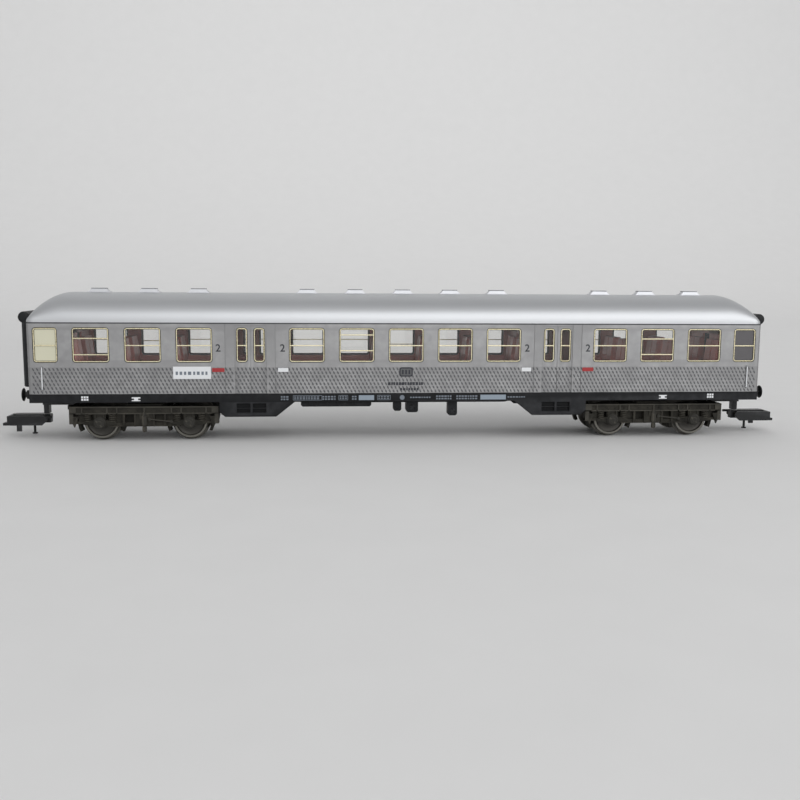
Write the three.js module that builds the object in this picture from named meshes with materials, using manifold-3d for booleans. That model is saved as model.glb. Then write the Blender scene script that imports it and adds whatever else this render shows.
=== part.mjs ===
// Model passenger coach at 1:87, with entrance doors between its saloons.
// Lengths are in millimetres. X runs along the coach, Y across it and Z up.
// The origin is on the table, midway between the coach's ends and sides.
// The coach stands on the flanges of its wheels.

import * as THREE from 'three';
import { mergeVertices } from 'three/addons/utils/BufferGeometryUtils.js';
import Module from 'manifold-3d';

const wasm = await Module();
wasm.setup();

// ---------------------------------------------------------------- driving sizes

const GAP = 0.3; // between a piece and the piece that holds it

// Body and roof
const BODY_LENGTH = 239.1;
const BODY_WIDTH = 30.65;
const BODY_HEIGHT = 22.68; // lower edge of the silver side to the gutter
const RIDE_HEIGHT = 9.69; // axle centre to the lower edge of the silver side
const WALL = 1.0;
const BODY_CORNER_RADIUS = 1.0;
const ROOF_RISE = 9.3; // gutter to the crown
const ROOF_RIM = 0.5; // upright edge above the gutter
const ROOF_OVERHANG = 0.35; // past each end wall
const ROOF_END_FALL = 23.6; // length of each domed end
const ROOF_SKIN = 1.4;
const ROOF_LIP_DEPTH = 0.7; // the lip that drops inside the body
const ROOF_LIP_WIDTH = 0.93;

// Windows and doors
const WINDOW_WIDTH = 11.55;
const WINDOW_SILL = 9.98; // above the lower edge of the side
const WINDOW_HEADROOM = 1.51; // window top to the gutter
const WINDOW_PITCH = 16.05;
const WINDOW_CORNER_RADIUS = 1.1;
const WINDOWS_PER_CENTRE_HALF = 2; // beside the middle one
const END_SALOON_FIRST_WINDOW = 17.8; // from the door's centre
const END_WINDOW_WIDTH = 7.62;
const END_WINDOW_FROM_END = 5.65;
const PILLAR_TO_END_WINDOW = 2.2; // least wall between saloon and end windows
const DOOR_CENTRE = 50.05;
const DOOR_WIDTH = 10.2;
const DOOR_RECESS = 0.25;
const DOOR_WINDOW_WIDTH = 3.72;
const DOOR_WINDOW_OFFSET = 2.75; // from the door's centre
const END_DOOR_WIDTH = 8.4;
const END_DOOR_HEADROOM = 2.2;
const END_DOOR_THICKNESS = 0.8;
const PANE_RECESS = 0.12;
const GLAZING_STRIP = 0.7;
const GLAZING_MARGIN = 0.9; // strip below the windows
const GLAZING_HEAD = 0.5; // strip above the windows

// Roof ventilators
const VENT_BASE_LENGTH = 6.6;
const VENT_TOP_LENGTH = 4.6;
const VENT_BASE_WIDTH = 3.4;
const VENT_TOP_WIDTH = 2.4;
const VENT_HEIGHT = 1.33;

// Underframe
const FLOOR_THICKNESS = 1.5;
const SPIGOT_HEIGHT = 1.0; // floor that stands inside the body
const UNDERFRAME_INSET = 0.42; // from the coach's side
const SOLEBAR_DEPTH = 2.85;
const SOLEBAR_THICKNESS = 1.2;
const SKIRT_DEPTH = 7.66; // below the lower edge of the side
const SKIRT_BREAK = 6.06; // where the outer slant meets the upright edge
const SKIRT_INNER_TOP = 13.95; // skirt corners, from the door's centre
const SKIRT_INNER_BOTTOM = 7.95;
const SKIRT_OUTER_BOTTOM = 8.45;
const SKIRT_OUTER_TOP = 10.25;
const STEP_WELL_WIDTH = 4.3;
const STEP_WELL_DEPTH = 0.75;
const STEP_WELL_TOP = 3.3; // below the lower edge of the side
const STEP_WELL_BOTTOM = 6.5;
const BALLAST_FROM_END = 19.55;
const BALLAST_FROM_SIDE = 5.325;
const BALLAST_THICKNESS = 0.9;

// Interior
const TRAY_FLOOR = 0.8;
const TRAY_WALL = 0.6;
const TRAY_WALL_HEIGHT = 8.2;
const AISLE_WIDTH = 5.2;
const SEAT_TOP = 15.2; // above the ballast plate
const SEAT_CUSHION_TOP = 5.6;
const SEAT_PAIR_BASE = 9.8;
const SEAT_BACK_WIDTH = 5.6;
const SEAT_BACK_CROWN = 2.6;
const BULKHEAD = 0.8;
const BULKHEAD_FROM_DOOR = 9.65;
const BULKHEAD_HEADROOM = 0.7; // below the roof's lip
const END_BULKHEAD_FROM_END = 12.2;

// Ends: gangways, buffers and handrails
const GANGWAY_DEPTH = 3.65;
const GANGWAY_TUBE = 2.8;
const GANGWAY_HALF_WIDTH = 8.2;
const GANGWAY_FOOT = 1.5; // above the lower edge of the side
const GANGWAY_ROLL_RADIUS = 1.85;
const GANGWAY_ROLL_HEIGHT = 2.35; // roll centre above the gutter
const GANGWAY_ROLL_PROUD = 0.95; // past the tubes
const BUFFER_SPACING = 20;
const BUFFER_DROP = 0.7; // centre below the lower edge of the side
const BUFFER_REACH = 3.45; // face past the buffer beam
const BUFFER_HEAD_RADIUS = 2.15;
const BUFFER_STOCK_RADIUS = 1.25;
const HANDRAIL_FROM_END = 4.45;
const HANDRAIL_LOW = 1.4; // above the lower edge of the side
const HANDRAIL_LENGTH = 7.2;
const HANDRAIL_WIRE = 0.36;
const HANDRAIL_STAND_OFF = 0.45; // wire centre to the side
const PLATE_CENTRE = -68.6;
const PLATE_LENGTH = 11.9;
const PLATE_HEIGHT = 3.95;
const PLATE_LOW = 4.78; // above the lower edge of the side
const PLATE_THICKNESS = 0.25;

// Bogies and wheelsets
const PIVOT_FROM_END = 35.2; // bogie pivot to the end wall
const WHEELBASE = 28.3;
const TREAD_RADIUS = 5.5;
const FLANGE_RADIUS = 6.2;
const WHEEL_BACK_TO_BACK = 14.3;
const WHEEL_WIDTH = 2.8;
const FLANGE_WIDTH = 0.8;
const HUB_RADIUS = 1.9;
const WHEEL_BORE_GAP = 0.15;
const AXLE_RADIUS = 1.0;
const AXLE_HALF_LENGTH = 12.0;
const AXLE_POINT = 1.2; // length of the pointed end
const FRAME_INNER = 10.9; // side frame's inner face from the centreline
const FRAME_OUTER = 13.4;
const AXLE_BOX_RADIUS = 2.1;
const AXLE_BOX_PROUD = 0.55;
const FRAME_TOP = 5.4; // top of the side beam above the axle
const FRAME_BEAM_BOTTOM = 2.9;
const FRAME_END_CLEARANCE = 3.25; // wheel to the frame's end
const HEADSTOCK = 2.2;
const BRAKE_GAP = 0.45;
const BOLSTER_HALF_LENGTH = 5.4;
const BOLSTER_TOP = 6.0; // above the axle
const BOLSTER_BOTTOM = 2.8;
const PIVOT_RADIUS = 1.2;
const PIVOT_HEAD_RADIUS = 2.3;
const PIVOT_HEAD_HEIGHT = 1.1;
const PIVOT_BOSS_RADIUS = 3.4;
const PIVOT_THREAD = 2.4; // screw inside the underframe

// Couplings, measured outwards from the end of the bogie frame
const COUPLER_PIVOT = 1.7;
const COUPLER_PIN_RADIUS = 0.8;
const TONGUE_WIDTH = 5.2;
const TONGUE_THICKNESS = 1.4;
const TONGUE_LENGTH = 3.4;
const ARM_THICKNESS = 1.8;
const ARM_START = 0.6;
const ARM_END = 11.1;
const ARM_EYE = 5.1;
const ARM_EYE_RADIUS = 0.55;
const POST_LENGTH = 1.6;
const POST_WIDTH = 3.0;
const HEAD_TOP = 7.5; // above the table, so that every coach couples
const HEAD_BOTTOM = 4.1;
const HOOK_WIDTH = 2.6;
const HOOK_REACH = 21.0;
const LIP_REACH = 24.55;
const LOOP_HINGE = 11.1;
const LOOP_HINGE_HEIGHT = 6.3;
const LOOP_HINGE_RADIUS = 0.6;
const LOOP_REACH = 22.4;
const LOOP_WIDTH = 7.4;
const LOOP_PLATE = 0.7;
const TRIP_PIN = 14.65;
const TRIP_PIN_FOOT = 0.85; // above the table
const GUARD_PIN = 18.65;
const GUARD_PIN_FOOT = 2.15;

// ---------------------------------------------------------------- derived sizes

const axleHeight = FLANGE_RADIUS;
const bodyBottom = axleHeight + RIDE_HEIGHT;
const gutter = bodyBottom + BODY_HEIGHT;
const crown = gutter + ROOF_RISE;
const bodyEnd = BODY_LENGTH / 2;
const bodySide = BODY_WIDTH / 2;
const innerEnd = bodyEnd - WALL;
const innerSide = bodySide - WALL;
const windowBottom = bodyBottom + WINDOW_SILL;
const windowTop = gutter - WINDOW_HEADROOM;
const roofLipOuterEnd = innerEnd - GAP;
const roofLipOuterSide = innerSide - GAP;
const roofInnerEnd = roofLipOuterEnd - ROOF_LIP_WIDTH;
const roofInnerSide = roofLipOuterSide - ROOF_LIP_WIDTH;
const underframeSide = bodySide - UNDERFRAME_INSET;
const floorBottom = bodyBottom - FLOOR_THICKNESS;
const floorTop = bodyBottom + SPIGOT_HEIGHT;
const solebarBottom = bodyBottom - SOLEBAR_DEPTH;
const solebarInner = underframeSide - SOLEBAR_THICKNESS;
const trayBottom = floorTop + BALLAST_THICKNESS;
const trayTop = trayBottom + TRAY_FLOOR;
const traySide = roofInnerSide - GAP;
const trayEnd = roofInnerEnd - GAP;
const pivotX = bodyEnd - PIVOT_FROM_END;
const axleX = WHEELBASE / 2;
const wheelInner = WHEEL_BACK_TO_BACK / 2;
const wheelOuter = wheelInner + WHEEL_WIDTH;
const frameEnd = axleX + FLANGE_RADIUS + FRAME_END_CLEARANCE;
const frameTop = axleHeight + FRAME_TOP;
const beamBottom = axleHeight + FRAME_BEAM_BOTTOM;
const bolsterTop = axleHeight + BOLSTER_TOP;
const bolsterBottom = axleHeight + BOLSTER_BOTTOM;
const tongueTop = frameTop - 1.1;
const armBottom = tongueTop + GAP;
const armTop = armBottom + ARM_THICKNESS;

// Window centres on the +X half; the end saloon takes as many as fit.
const centreWindows = [];
for (let i = 0; i <= WINDOWS_PER_CENTRE_HALF; i += 1) {
  centreWindows.push(i * WINDOW_PITCH);
}
const endWindow = bodyEnd - END_WINDOW_FROM_END;
const lastWindowLimit = endWindow - END_WINDOW_WIDTH / 2 - PILLAR_TO_END_WINDOW - WINDOW_WIDTH / 2;
const endWindows = [];
for (
  let x = DOOR_CENTRE + END_SALOON_FIRST_WINDOW;
  x <= lastWindowLimit;
  x += WINDOW_PITCH
) {
  endWindows.push(x);
}
const saloonWindows = mirrored([...centreWindows, ...endWindows]);

// Every hole in a side as its centre and width.
const sideHoles = [
  ...saloonWindows.map((x) => ({ x, width: WINDOW_WIDTH })),
  ...mirrored([endWindow]).map((x) => ({ x, width: END_WINDOW_WIDTH })),
  ...mirrored([DOOR_CENTRE - DOOR_WINDOW_OFFSET, DOOR_CENTRE + DOOR_WINDOW_OFFSET]).map(
    (x) => ({ x, width: DOOR_WINDOW_WIDTH }),
  ),
];

// ---------------------------------------------------------------- shape helpers

// The values and their negatives, from left to right, with zero once.
function mirrored(values) {
  const all = values.flatMap((value) => (value === 0 ? [0] : [-value, value]));
  return all.sort((a, b) => a - b);
}

// A closed three.js geometry as a solid that can be cut and joined.
function solid(geometry) {
  const bare = geometry.clone();
  bare.deleteAttribute('normal');
  bare.deleteAttribute('uv');
  const merged = mergeVertices(bare);
  return new wasm.Manifold(
    new wasm.Mesh({
      numProp: 3,
      vertProperties: new Float32Array(merged.attributes.position.array),
      triVerts: new Uint32Array(merged.index.array),
    }),
  );
}

// A solid as a three.js geometry.
function geometryOf(body) {
  const mesh = body.getMesh();
  const geometry = new THREE.BufferGeometry();
  geometry.setAttribute('position', new THREE.BufferAttribute(mesh.vertProperties, 3));
  geometry.setIndex(new THREE.BufferAttribute(mesh.triVerts, 1));
  geometry.computeVertexNormals();
  return geometry;
}

function join(bodies) {
  return bodies.reduce((all, body) => all.add(body));
}

// A box between two values on each axis.
function box(x0, x1, y0, y1, z0, z1) {
  const geometry = new THREE.BoxGeometry(x1 - x0, y1 - y0, z1 - z0);
  geometry.translate((x0 + x1) / 2, (y0 + y1) / 2, (z0 + z1) / 2);
  return solid(geometry);
}

// The same box on both sides of the centreline.
function boxPair(x0, x1, y0, y1, z0, z1) {
  return box(x0, x1, y0, y1, z0, z1).add(box(x0, x1, -y1, -y0, z0, z1));
}

function outline(points) {
  return new THREE.Shape(points.map(([a, b]) => new THREE.Vector2(a, b)));
}

// A rectangle with round corners, about a centre.
function roundedRectangle(a, b, width, height, radius) {
  const shape = new THREE.Shape();
  const [left, right] = [a - width / 2, a + width / 2];
  const [low, high] = [b - height / 2, b + height / 2];
  shape.absarc(right - radius, low + radius, radius, -Math.PI / 2, 0);
  shape.absarc(right - radius, high - radius, radius, 0, Math.PI / 2);
  shape.absarc(left + radius, high - radius, radius, Math.PI / 2, Math.PI);
  shape.absarc(left + radius, low + radius, radius, Math.PI, Math.PI * 1.5);
  return shape;
}

function extrude(shape, depth, curveSegments) {
  return new THREE.ExtrudeGeometry(shape, { depth, bevelEnabled: false, curveSegments });
}

// An outline in X and Z, extruded from y0 to y1.
function acrossPrism(shape, y0, y1, curveSegments = 1) {
  const geometry = extrude(shape, y1 - y0, curveSegments);
  geometry.rotateX(Math.PI / 2);
  geometry.translate(0, y1, 0);
  return solid(geometry);
}

// An outline in X and Y, extruded from z0 to z1.
function uprightPrism(shape, z0, z1, curveSegments = 2) {
  const geometry = extrude(shape, z1 - z0, curveSegments);
  geometry.translate(0, 0, z0);
  return solid(geometry);
}

// Round bars along each axis, given the two ends and the other two coordinates.
function barX(x0, x1, y, z, radius, sides = 12) {
  const geometry = new THREE.CylinderGeometry(radius, radius, x1 - x0, sides);
  geometry.rotateZ(Math.PI / 2);
  geometry.translate((x0 + x1) / 2, y, z);
  return solid(geometry);
}

function barY(x, y0, y1, z, radius, sides = 12) {
  const geometry = new THREE.CylinderGeometry(radius, radius, y1 - y0, sides);
  geometry.translate(x, (y0 + y1) / 2, z);
  return solid(geometry);
}

function barZ(x, y, z0, z1, radius, sides = 12) {
  const geometry = new THREE.CylinderGeometry(radius, radius, z1 - z0, sides);
  geometry.rotateX(Math.PI / 2);
  geometry.translate(x, y, (z0 + z1) / 2);
  return solid(geometry);
}

// A turned shape: [radius, height] points spun about the Y axis.
function turned(profile, sides) {
  const points = profile.map(([radius, height]) => new THREE.Vector2(radius, height));
  return new THREE.LatheGeometry(points, sides);
}

// A skin through loops of equal point count, capped by fans from each loop's first point.
function loft(loops) {
  const count = loops[0].length;
  const position = loops.flat().flatMap((point) => [point.x, point.y, point.z]);
  const index = [];
  for (let ring = 0; ring + 1 < loops.length; ring += 1) {
    for (let i = 0; i < count; i += 1) {
      const a = ring * count + i;
      const b = ring * count + ((i + 1) % count);
      index.push(a, b, b + count, a, b + count, a + count);
    }
  }
  const last = (loops.length - 1) * count;
  for (let i = 1; i + 1 < count; i += 1) {
    index.push(0, i + 1, i);
    index.push(last, last + i, last + i + 1);
  }
  const geometry = new THREE.BufferGeometry();
  geometry.setAttribute('position', new THREE.Float32BufferAttribute(position, 3));
  geometry.setIndex(index);
  return solid(geometry);
}

// ---------------------------------------------------------------- body and roof

function makeBodyShell() {
  const outer = uprightPrism(
    roundedRectangle(0, 0, BODY_LENGTH, BODY_WIDTH, BODY_CORNER_RADIUS),
    bodyBottom,
    gutter,
    3,
  );
  const hollow = box(-innerEnd, innerEnd, -innerSide, innerSide, bodyBottom - 1, gutter + 1);
  const windows = sideHoles.map(({ x, width }) =>
    acrossPrism(windowOutline(x, width, 0), -bodySide - 1, bodySide + 1),
  );
  const recesses = mirrored([DOOR_CENTRE]).map((x) =>
    boxPair(
      x - DOOR_WIDTH / 2,
      x + DOOR_WIDTH / 2,
      bodySide - DOOR_RECESS,
      bodySide + 1,
      bodyBottom - 1,
      windowTop + WINDOW_HEADROOM / 2,
    ),
  );
  const endDoors = box(
    -bodyEnd - 1,
    bodyEnd + 1,
    -END_DOOR_WIDTH / 2,
    END_DOOR_WIDTH / 2,
    floorTop + GAP,
    gutter - END_DOOR_HEADROOM,
  );
  return outer.subtract(join([hollow, ...windows, ...recesses, endDoors]));
}

// A window opening, made smaller all round by a clearance.
function windowOutline(x, width, clearance) {
  return roundedRectangle(
    x,
    (windowBottom + windowTop) / 2,
    width - 2 * clearance,
    windowTop - windowBottom - 2 * clearance,
    WINDOW_CORNER_RADIUS - clearance,
  );
}

// A roof solid with a flat underside: round across, and falling away at both ends.
function roofBlock(halfLength, halfWidth, rise, fall) {
  const ROUND_ACROSS = 2.2;
  const ROUND_END = 2.1;
  const ACROSS_STEPS = 10;
  const END_STEPS = 6;
  const profile = (share, power) => (1 - share ** power) ** (1 / power);
  const across = [];
  for (let i = 0; i <= ACROSS_STEPS; i += 1) {
    const share = -Math.cos((Math.PI * i) / ACROSS_STEPS);
    across.push({ y: -share * halfWidth, level: profile(Math.abs(share), ROUND_ACROSS) });
  }
  const stations = [];
  for (let i = 0; i <= END_STEPS; i += 1) {
    const share = Math.sin((Math.PI / 2) * (i / END_STEPS));
    stations.push({ x: halfLength - fall + fall * share, level: profile(share, ROUND_END) });
  }
  const allStations = [
    ...stations.map(({ x, level }) => ({ x: -x, level })).reverse(),
    ...stations,
  ];
  const loops = allStations.map(({ x, level }) => [
    new THREE.Vector3(x, -halfWidth, gutter),
    new THREE.Vector3(x, halfWidth, gutter),
    ...across.map(
      (point) =>
        new THREE.Vector3(x, point.y, gutter + ROOF_RIM + (rise - ROOF_RIM) * level * point.level),
    ),
  ]);
  return loft(loops);
}

function makeRoof() {
  const outer = roofBlock(bodyEnd + ROOF_OVERHANG, bodySide, ROOF_RISE, ROOF_END_FALL);
  const endSkin = bodyEnd + ROOF_OVERHANG - roofInnerEnd;
  const inner = roofBlock(
    roofInnerEnd,
    roofInnerSide,
    ROOF_RISE - ROOF_SKIN,
    ROOF_END_FALL - endSkin,
  );
  const lip = box(
    -roofLipOuterEnd,
    roofLipOuterEnd,
    -roofLipOuterSide,
    roofLipOuterSide,
    gutter - ROOF_LIP_DEPTH,
    gutter + ROOF_RIM / 2,
  );
  const well = box(
    -roofInnerEnd,
    roofInnerEnd,
    -roofInnerSide,
    roofInnerSide,
    gutter - ROOF_LIP_DEPTH - 1,
    gutter + ROOF_RIM / 2,
  );
  return outer.add(lip).subtract(inner.add(well));
}

// A ventilator hood with four sloping faces.
function makeVent(x) {
  const ring = (length, width, z) => [
    new THREE.Vector3(x - length / 2, -width / 2, z),
    new THREE.Vector3(x + length / 2, -width / 2, z),
    new THREE.Vector3(x + length / 2, width / 2, z),
    new THREE.Vector3(x - length / 2, width / 2, z),
  ];
  return loft([
    ring(VENT_BASE_LENGTH, VENT_BASE_WIDTH, crown),
    ring(VENT_TOP_LENGTH, VENT_TOP_WIDTH, crown + VENT_HEIGHT),
  ]);
}

// The clear strip behind the near side, with a pane standing in each opening.
function makeGlazing() {
  const stripOuter = -(innerSide - GAP);
  const strip = box(
    -innerEnd + GAP,
    innerEnd - GAP,
    stripOuter,
    stripOuter + GLAZING_STRIP,
    windowBottom - GLAZING_MARGIN,
    windowTop + GLAZING_HEAD,
  );
  const panes = sideHoles.map(({ x, width }) =>
    acrossPrism(
      windowOutline(x, width, GAP),
      -bodySide + PANE_RECESS + (width === DOOR_WINDOW_WIDTH ? DOOR_RECESS : 0),
      stripOuter + GLAZING_STRIP / 2,
    ),
  );
  return join([strip, ...panes]);
}

// ---------------------------------------------------------------- underframe and interior

function makeUnderframe() {
  const floor = box(
    -bodyEnd,
    bodyEnd,
    -underframeSide,
    underframeSide,
    floorBottom,
    bodyBottom,
  );
  const spigot = box(
    -innerEnd + GAP,
    innerEnd - GAP,
    -innerSide + GAP,
    innerSide - GAP,
    floorBottom + 0.1,
    floorTop,
  );
  const solebars = boxPair(
    -bodyEnd,
    bodyEnd,
    solebarInner,
    underframeSide,
    solebarBottom,
    floorBottom + 0.1,
  );
  const beams = [-1, 1].map((end) => {
    const inner = end * (bodyEnd - SOLEBAR_THICKNESS);
    const outer = end * bodyEnd;
    return box(
      Math.min(inner, outer),
      Math.max(inner, outer),
      -underframeSide,
      underframeSide,
      solebarBottom,
      floorBottom + 0.1,
    );
  });
  const skirts = mirrored([DOOR_CENTRE]).flatMap((x) => {
    const shape = skirtOutline(x);
    return [
      acrossPrism(shape, solebarInner, underframeSide),
      acrossPrism(shape, -underframeSide, -solebarInner),
    ];
  });
  const wells = mirrored([
    DOOR_CENTRE - DOOR_WIDTH / 4,
    DOOR_CENTRE + DOOR_WIDTH / 4,
  ]).map((x) =>
    boxPair(
      x - STEP_WELL_WIDTH / 2,
      x + STEP_WELL_WIDTH / 2,
      underframeSide - STEP_WELL_DEPTH,
      underframeSide + 1,
      bodyBottom - STEP_WELL_BOTTOM,
      bodyBottom - STEP_WELL_TOP,
    ),
  );
  const bosses = [-pivotX, pivotX].map((x) =>
    barZ(x, 0, bolsterTop + GAP, floorBottom + 0.1, PIVOT_BOSS_RADIUS, 16),
  );
  const threads = [-pivotX, pivotX].map((x) =>
    barZ(x, 0, bolsterTop, bolsterTop + GAP + PIVOT_THREAD + GAP, PIVOT_RADIUS + GAP, 12),
  );
  return join([floor, spigot, solebars, ...beams, ...skirts, ...bosses]).subtract(
    join([...wells, ...threads]),
  );
}

// The deep part of the solebar below an entrance door; its steep end faces the bogie.
function skirtOutline(x) {
  const out = Math.sign(x);
  const low = bodyBottom - SKIRT_DEPTH;
  return outline([
    [x - out * SKIRT_INNER_TOP, solebarBottom],
    [x - out * SKIRT_INNER_BOTTOM, low],
    [x + out * SKIRT_OUTER_BOTTOM, low],
    [x + out * SKIRT_OUTER_TOP, bodyBottom - SKIRT_BREAK],
    [x + out * SKIRT_OUTER_TOP, solebarBottom + 0.1],
    [x - out * SKIRT_INNER_TOP, solebarBottom + 0.1],
  ]);
}

function makeBallast() {
  const halfLength = bodyEnd - BALLAST_FROM_END;
  const halfWidth = bodySide - BALLAST_FROM_SIDE;
  return box(-halfLength, halfLength, -halfWidth, halfWidth, floorTop, trayBottom);
}

// Two benches back to back, seen along the aisle; a lone bench is one half of it.
function benchOutline(x, sides) {
  const half = [
    [SEAT_BACK_CROWN / 2, SEAT_TOP],
    [SEAT_BACK_WIDTH / 2, SEAT_CUSHION_TOP],
    [SEAT_PAIR_BASE / 2, SEAT_CUSHION_TOP],
    [SEAT_PAIR_BASE / 2 - 1.2, TRAY_FLOOR / 2],
  ];
  const right = sides.includes('right') ? half : [[0, SEAT_TOP], [0, TRAY_FLOOR / 2]];
  const left = sides.includes('left') ? half : [[0, SEAT_TOP], [0, TRAY_FLOOR / 2]];
  const points = [
    ...right.map(([a, b]) => [x + a, trayBottom + b]),
    ...left.map(([a, b]) => [x - a, trayBottom + b]).reverse(),
  ];
  return outline(points);
}

function makeInterior() {
  const pieces = [
    box(-trayEnd, trayEnd, -traySide, traySide, trayBottom, trayTop),
    boxPair(
      -trayEnd,
      trayEnd,
      traySide - TRAY_WALL,
      traySide,
      trayBottom,
      trayBottom + TRAY_WALL_HEIGHT,
    ),
  ];
  const ceiling = gutter - ROOF_LIP_DEPTH - BULKHEAD_HEADROOM;
  const bulkheads = mirrored([
    DOOR_CENTRE - BULKHEAD_FROM_DOOR,
    DOOR_CENTRE + BULKHEAD_FROM_DOOR,
    bodyEnd - END_BULKHEAD_FROM_END,
  ]);
  for (const x of bulkheads) {
    const [x0, x1] = [x - BULKHEAD / 2, x + BULKHEAD / 2];
    pieces.push(boxPair(x0, x1, AISLE_WIDTH / 2, traySide, trayBottom, ceiling));
    pieces.push(box(x0, x1, -traySide, traySide, ceiling - 2.5, ceiling));
  }
  const addBench = (x, sides) => {
    const shape = benchOutline(x, sides);
    pieces.push(acrossPrism(shape, AISLE_WIDTH / 2, traySide - TRAY_WALL / 2));
    pieces.push(acrossPrism(shape, -traySide + TRAY_WALL / 2, -AISLE_WIDTH / 2));
  };
  const pillars = [
    ...centreWindows.slice(0, -1).map((x) => x + WINDOW_PITCH / 2),
    ...endWindows.slice(0, -1).map((x) => x + WINDOW_PITCH / 2),
  ];
  mirrored(pillars).forEach((x) => addBench(x, ['left', 'right']));
  bulkheads.forEach((x) => {
    const towardsSaloon = Math.abs(x) < DOOR_CENTRE || Math.abs(x) > endWindow - WINDOW_PITCH;
    const facesLeft = x > 0 === towardsSaloon;
    addBench(x, [facesLeft ? 'left' : 'right']);
  });
  return join(pieces);
}

// Boxes and brackets below the floor, as [name, start, end, depth, width] with depth below
// the side's lower edge and width inwards from the near solebar.
const UNDERFLOOR = [
  ['battery_box', -34.2, -11.2, 4.66, 9.0],
  ['brake_lever_bracket', -3.96, -1.28, 6.22, 3.0],
  ['brake_valve', 0.29, 4.25, 6.7, 4.5],
  ['water_filler', 14.16, 17.25, 7.84, 3.6],
];

function makeUnderfloor([, x0, x1, depth, width]) {
  const y0 = -solebarInner + GAP;
  const CHAMFER = 0.5;
  const low = bodyBottom - depth;
  const shape = outline([
    [x0, floorBottom],
    [x0, low + CHAMFER],
    [x0 + CHAMFER, low],
    [x1 - CHAMFER, low],
    [x1, low + CHAMFER],
    [x1, floorBottom],
  ]);
  return acrossPrism(shape, y0, y0 + width);
}

// ---------------------------------------------------------------- ends

// The rubber gangway: two upright tubes and a roll over them, on the +X end.
function makeGangway() {
  const face = bodyEnd + GANGWAY_DEPTH;
  const foot = bodyBottom + GANGWAY_FOOT;
  const rollX = face + GANGWAY_ROLL_PROUD - GANGWAY_ROLL_RADIUS;
  const rollZ = gutter + GANGWAY_ROLL_HEIGHT;
  const tubeInner = GANGWAY_HALF_WIDTH - GANGWAY_TUBE;
  const CORNER = 1.1;
  const pieces = [];
  for (const side of [-1, 1]) {
    const edge = side * GANGWAY_HALF_WIDTH;
    const inside = side * tubeInner;
    const tube = outline([
      [bodyEnd, inside],
      [face, inside],
      [face, edge - side * CORNER],
      [face - CORNER * 0.3, edge - side * CORNER * 0.3],
      [face - CORNER, edge],
      [bodyEnd, edge],
    ]);
    pieces.push(uprightPrism(tube, foot, gutter - GAP));
    const neck = [bodyEnd + ROOF_OVERHANG + GAP, face];
    const [y0, y1] = [Math.min(inside, edge), Math.max(inside, edge)];
    pieces.push(box(neck[0], neck[1] - CORNER, y0, y1, gutter - GAP - 1, rollZ));
  }
  pieces.push(barY(rollX, -GANGWAY_HALF_WIDTH, GANGWAY_HALF_WIDTH, rollZ, GANGWAY_ROLL_RADIUS, 16));
  pieces.push(
    box(bodyEnd, face - CORNER, -tubeInner - 0.5, tubeInner + 0.5, foot, foot + 0.9),
  );
  return join(pieces);
}

function makeEndDoor() {
  return box(
    innerEnd,
    innerEnd + END_DOOR_THICKNESS,
    -END_DOOR_WIDTH / 2 + GAP,
    END_DOOR_WIDTH / 2 - GAP,
    floorTop + 2 * GAP,
    gutter - END_DOOR_HEADROOM - GAP,
  );
}

// Buffer stock, plunger and head, turned about the +X direction.
function makeBuffer(y) {
  const RIM = 0.45;
  const HEAD_THICKNESS = 0.9;
  const geometry = turned(
    [
      [0, 0],
      [BUFFER_STOCK_RADIUS + 0.45, 0],
      [BUFFER_STOCK_RADIUS + 0.45, 0.5],
      [BUFFER_STOCK_RADIUS, 0.5],
      [BUFFER_STOCK_RADIUS, 1.9],
      [BUFFER_STOCK_RADIUS * 0.7, 1.9],
      [BUFFER_STOCK_RADIUS * 0.7, BUFFER_REACH - HEAD_THICKNESS],
      [BUFFER_HEAD_RADIUS, BUFFER_REACH - RIM],
      [BUFFER_HEAD_RADIUS * 0.85, BUFFER_REACH],
      [0, BUFFER_REACH],
    ],
    12,
  );
  geometry.rotateZ(-Math.PI / 2);
  geometry.translate(bodyEnd, y, bodyBottom - BUFFER_DROP);
  return solid(geometry);
}

// A wire rail with its two feet on the side, at the +X end of the +Y side.
function makeHandrail() {
  const x = bodyEnd - HANDRAIL_FROM_END;
  const low = bodyBottom + HANDRAIL_LOW;
  const high = low + HANDRAIL_LENGTH;
  const y = bodySide + HANDRAIL_STAND_OFF;
  const half = HANDRAIL_WIRE / 2;
  return join([
    box(x - half, x + half, y - half, y + half, low, high),
    box(x - half, x + half, bodySide, y, low, low + HANDRAIL_WIRE),
    box(x - half, x + half, bodySide, y, high - HANDRAIL_WIRE, high),
  ]);
}

function makeDestinationPlate() {
  return box(
    PLATE_CENTRE - PLATE_LENGTH / 2,
    PLATE_CENTRE + PLATE_LENGTH / 2,
    -bodySide - PLATE_THICKNESS,
    -bodySide,
    bodyBottom + PLATE_LOW,
    bodyBottom + PLATE_LOW + PLATE_HEIGHT,
  );
}

// ---------------------------------------------------------------- bogies, about the pivot

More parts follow.
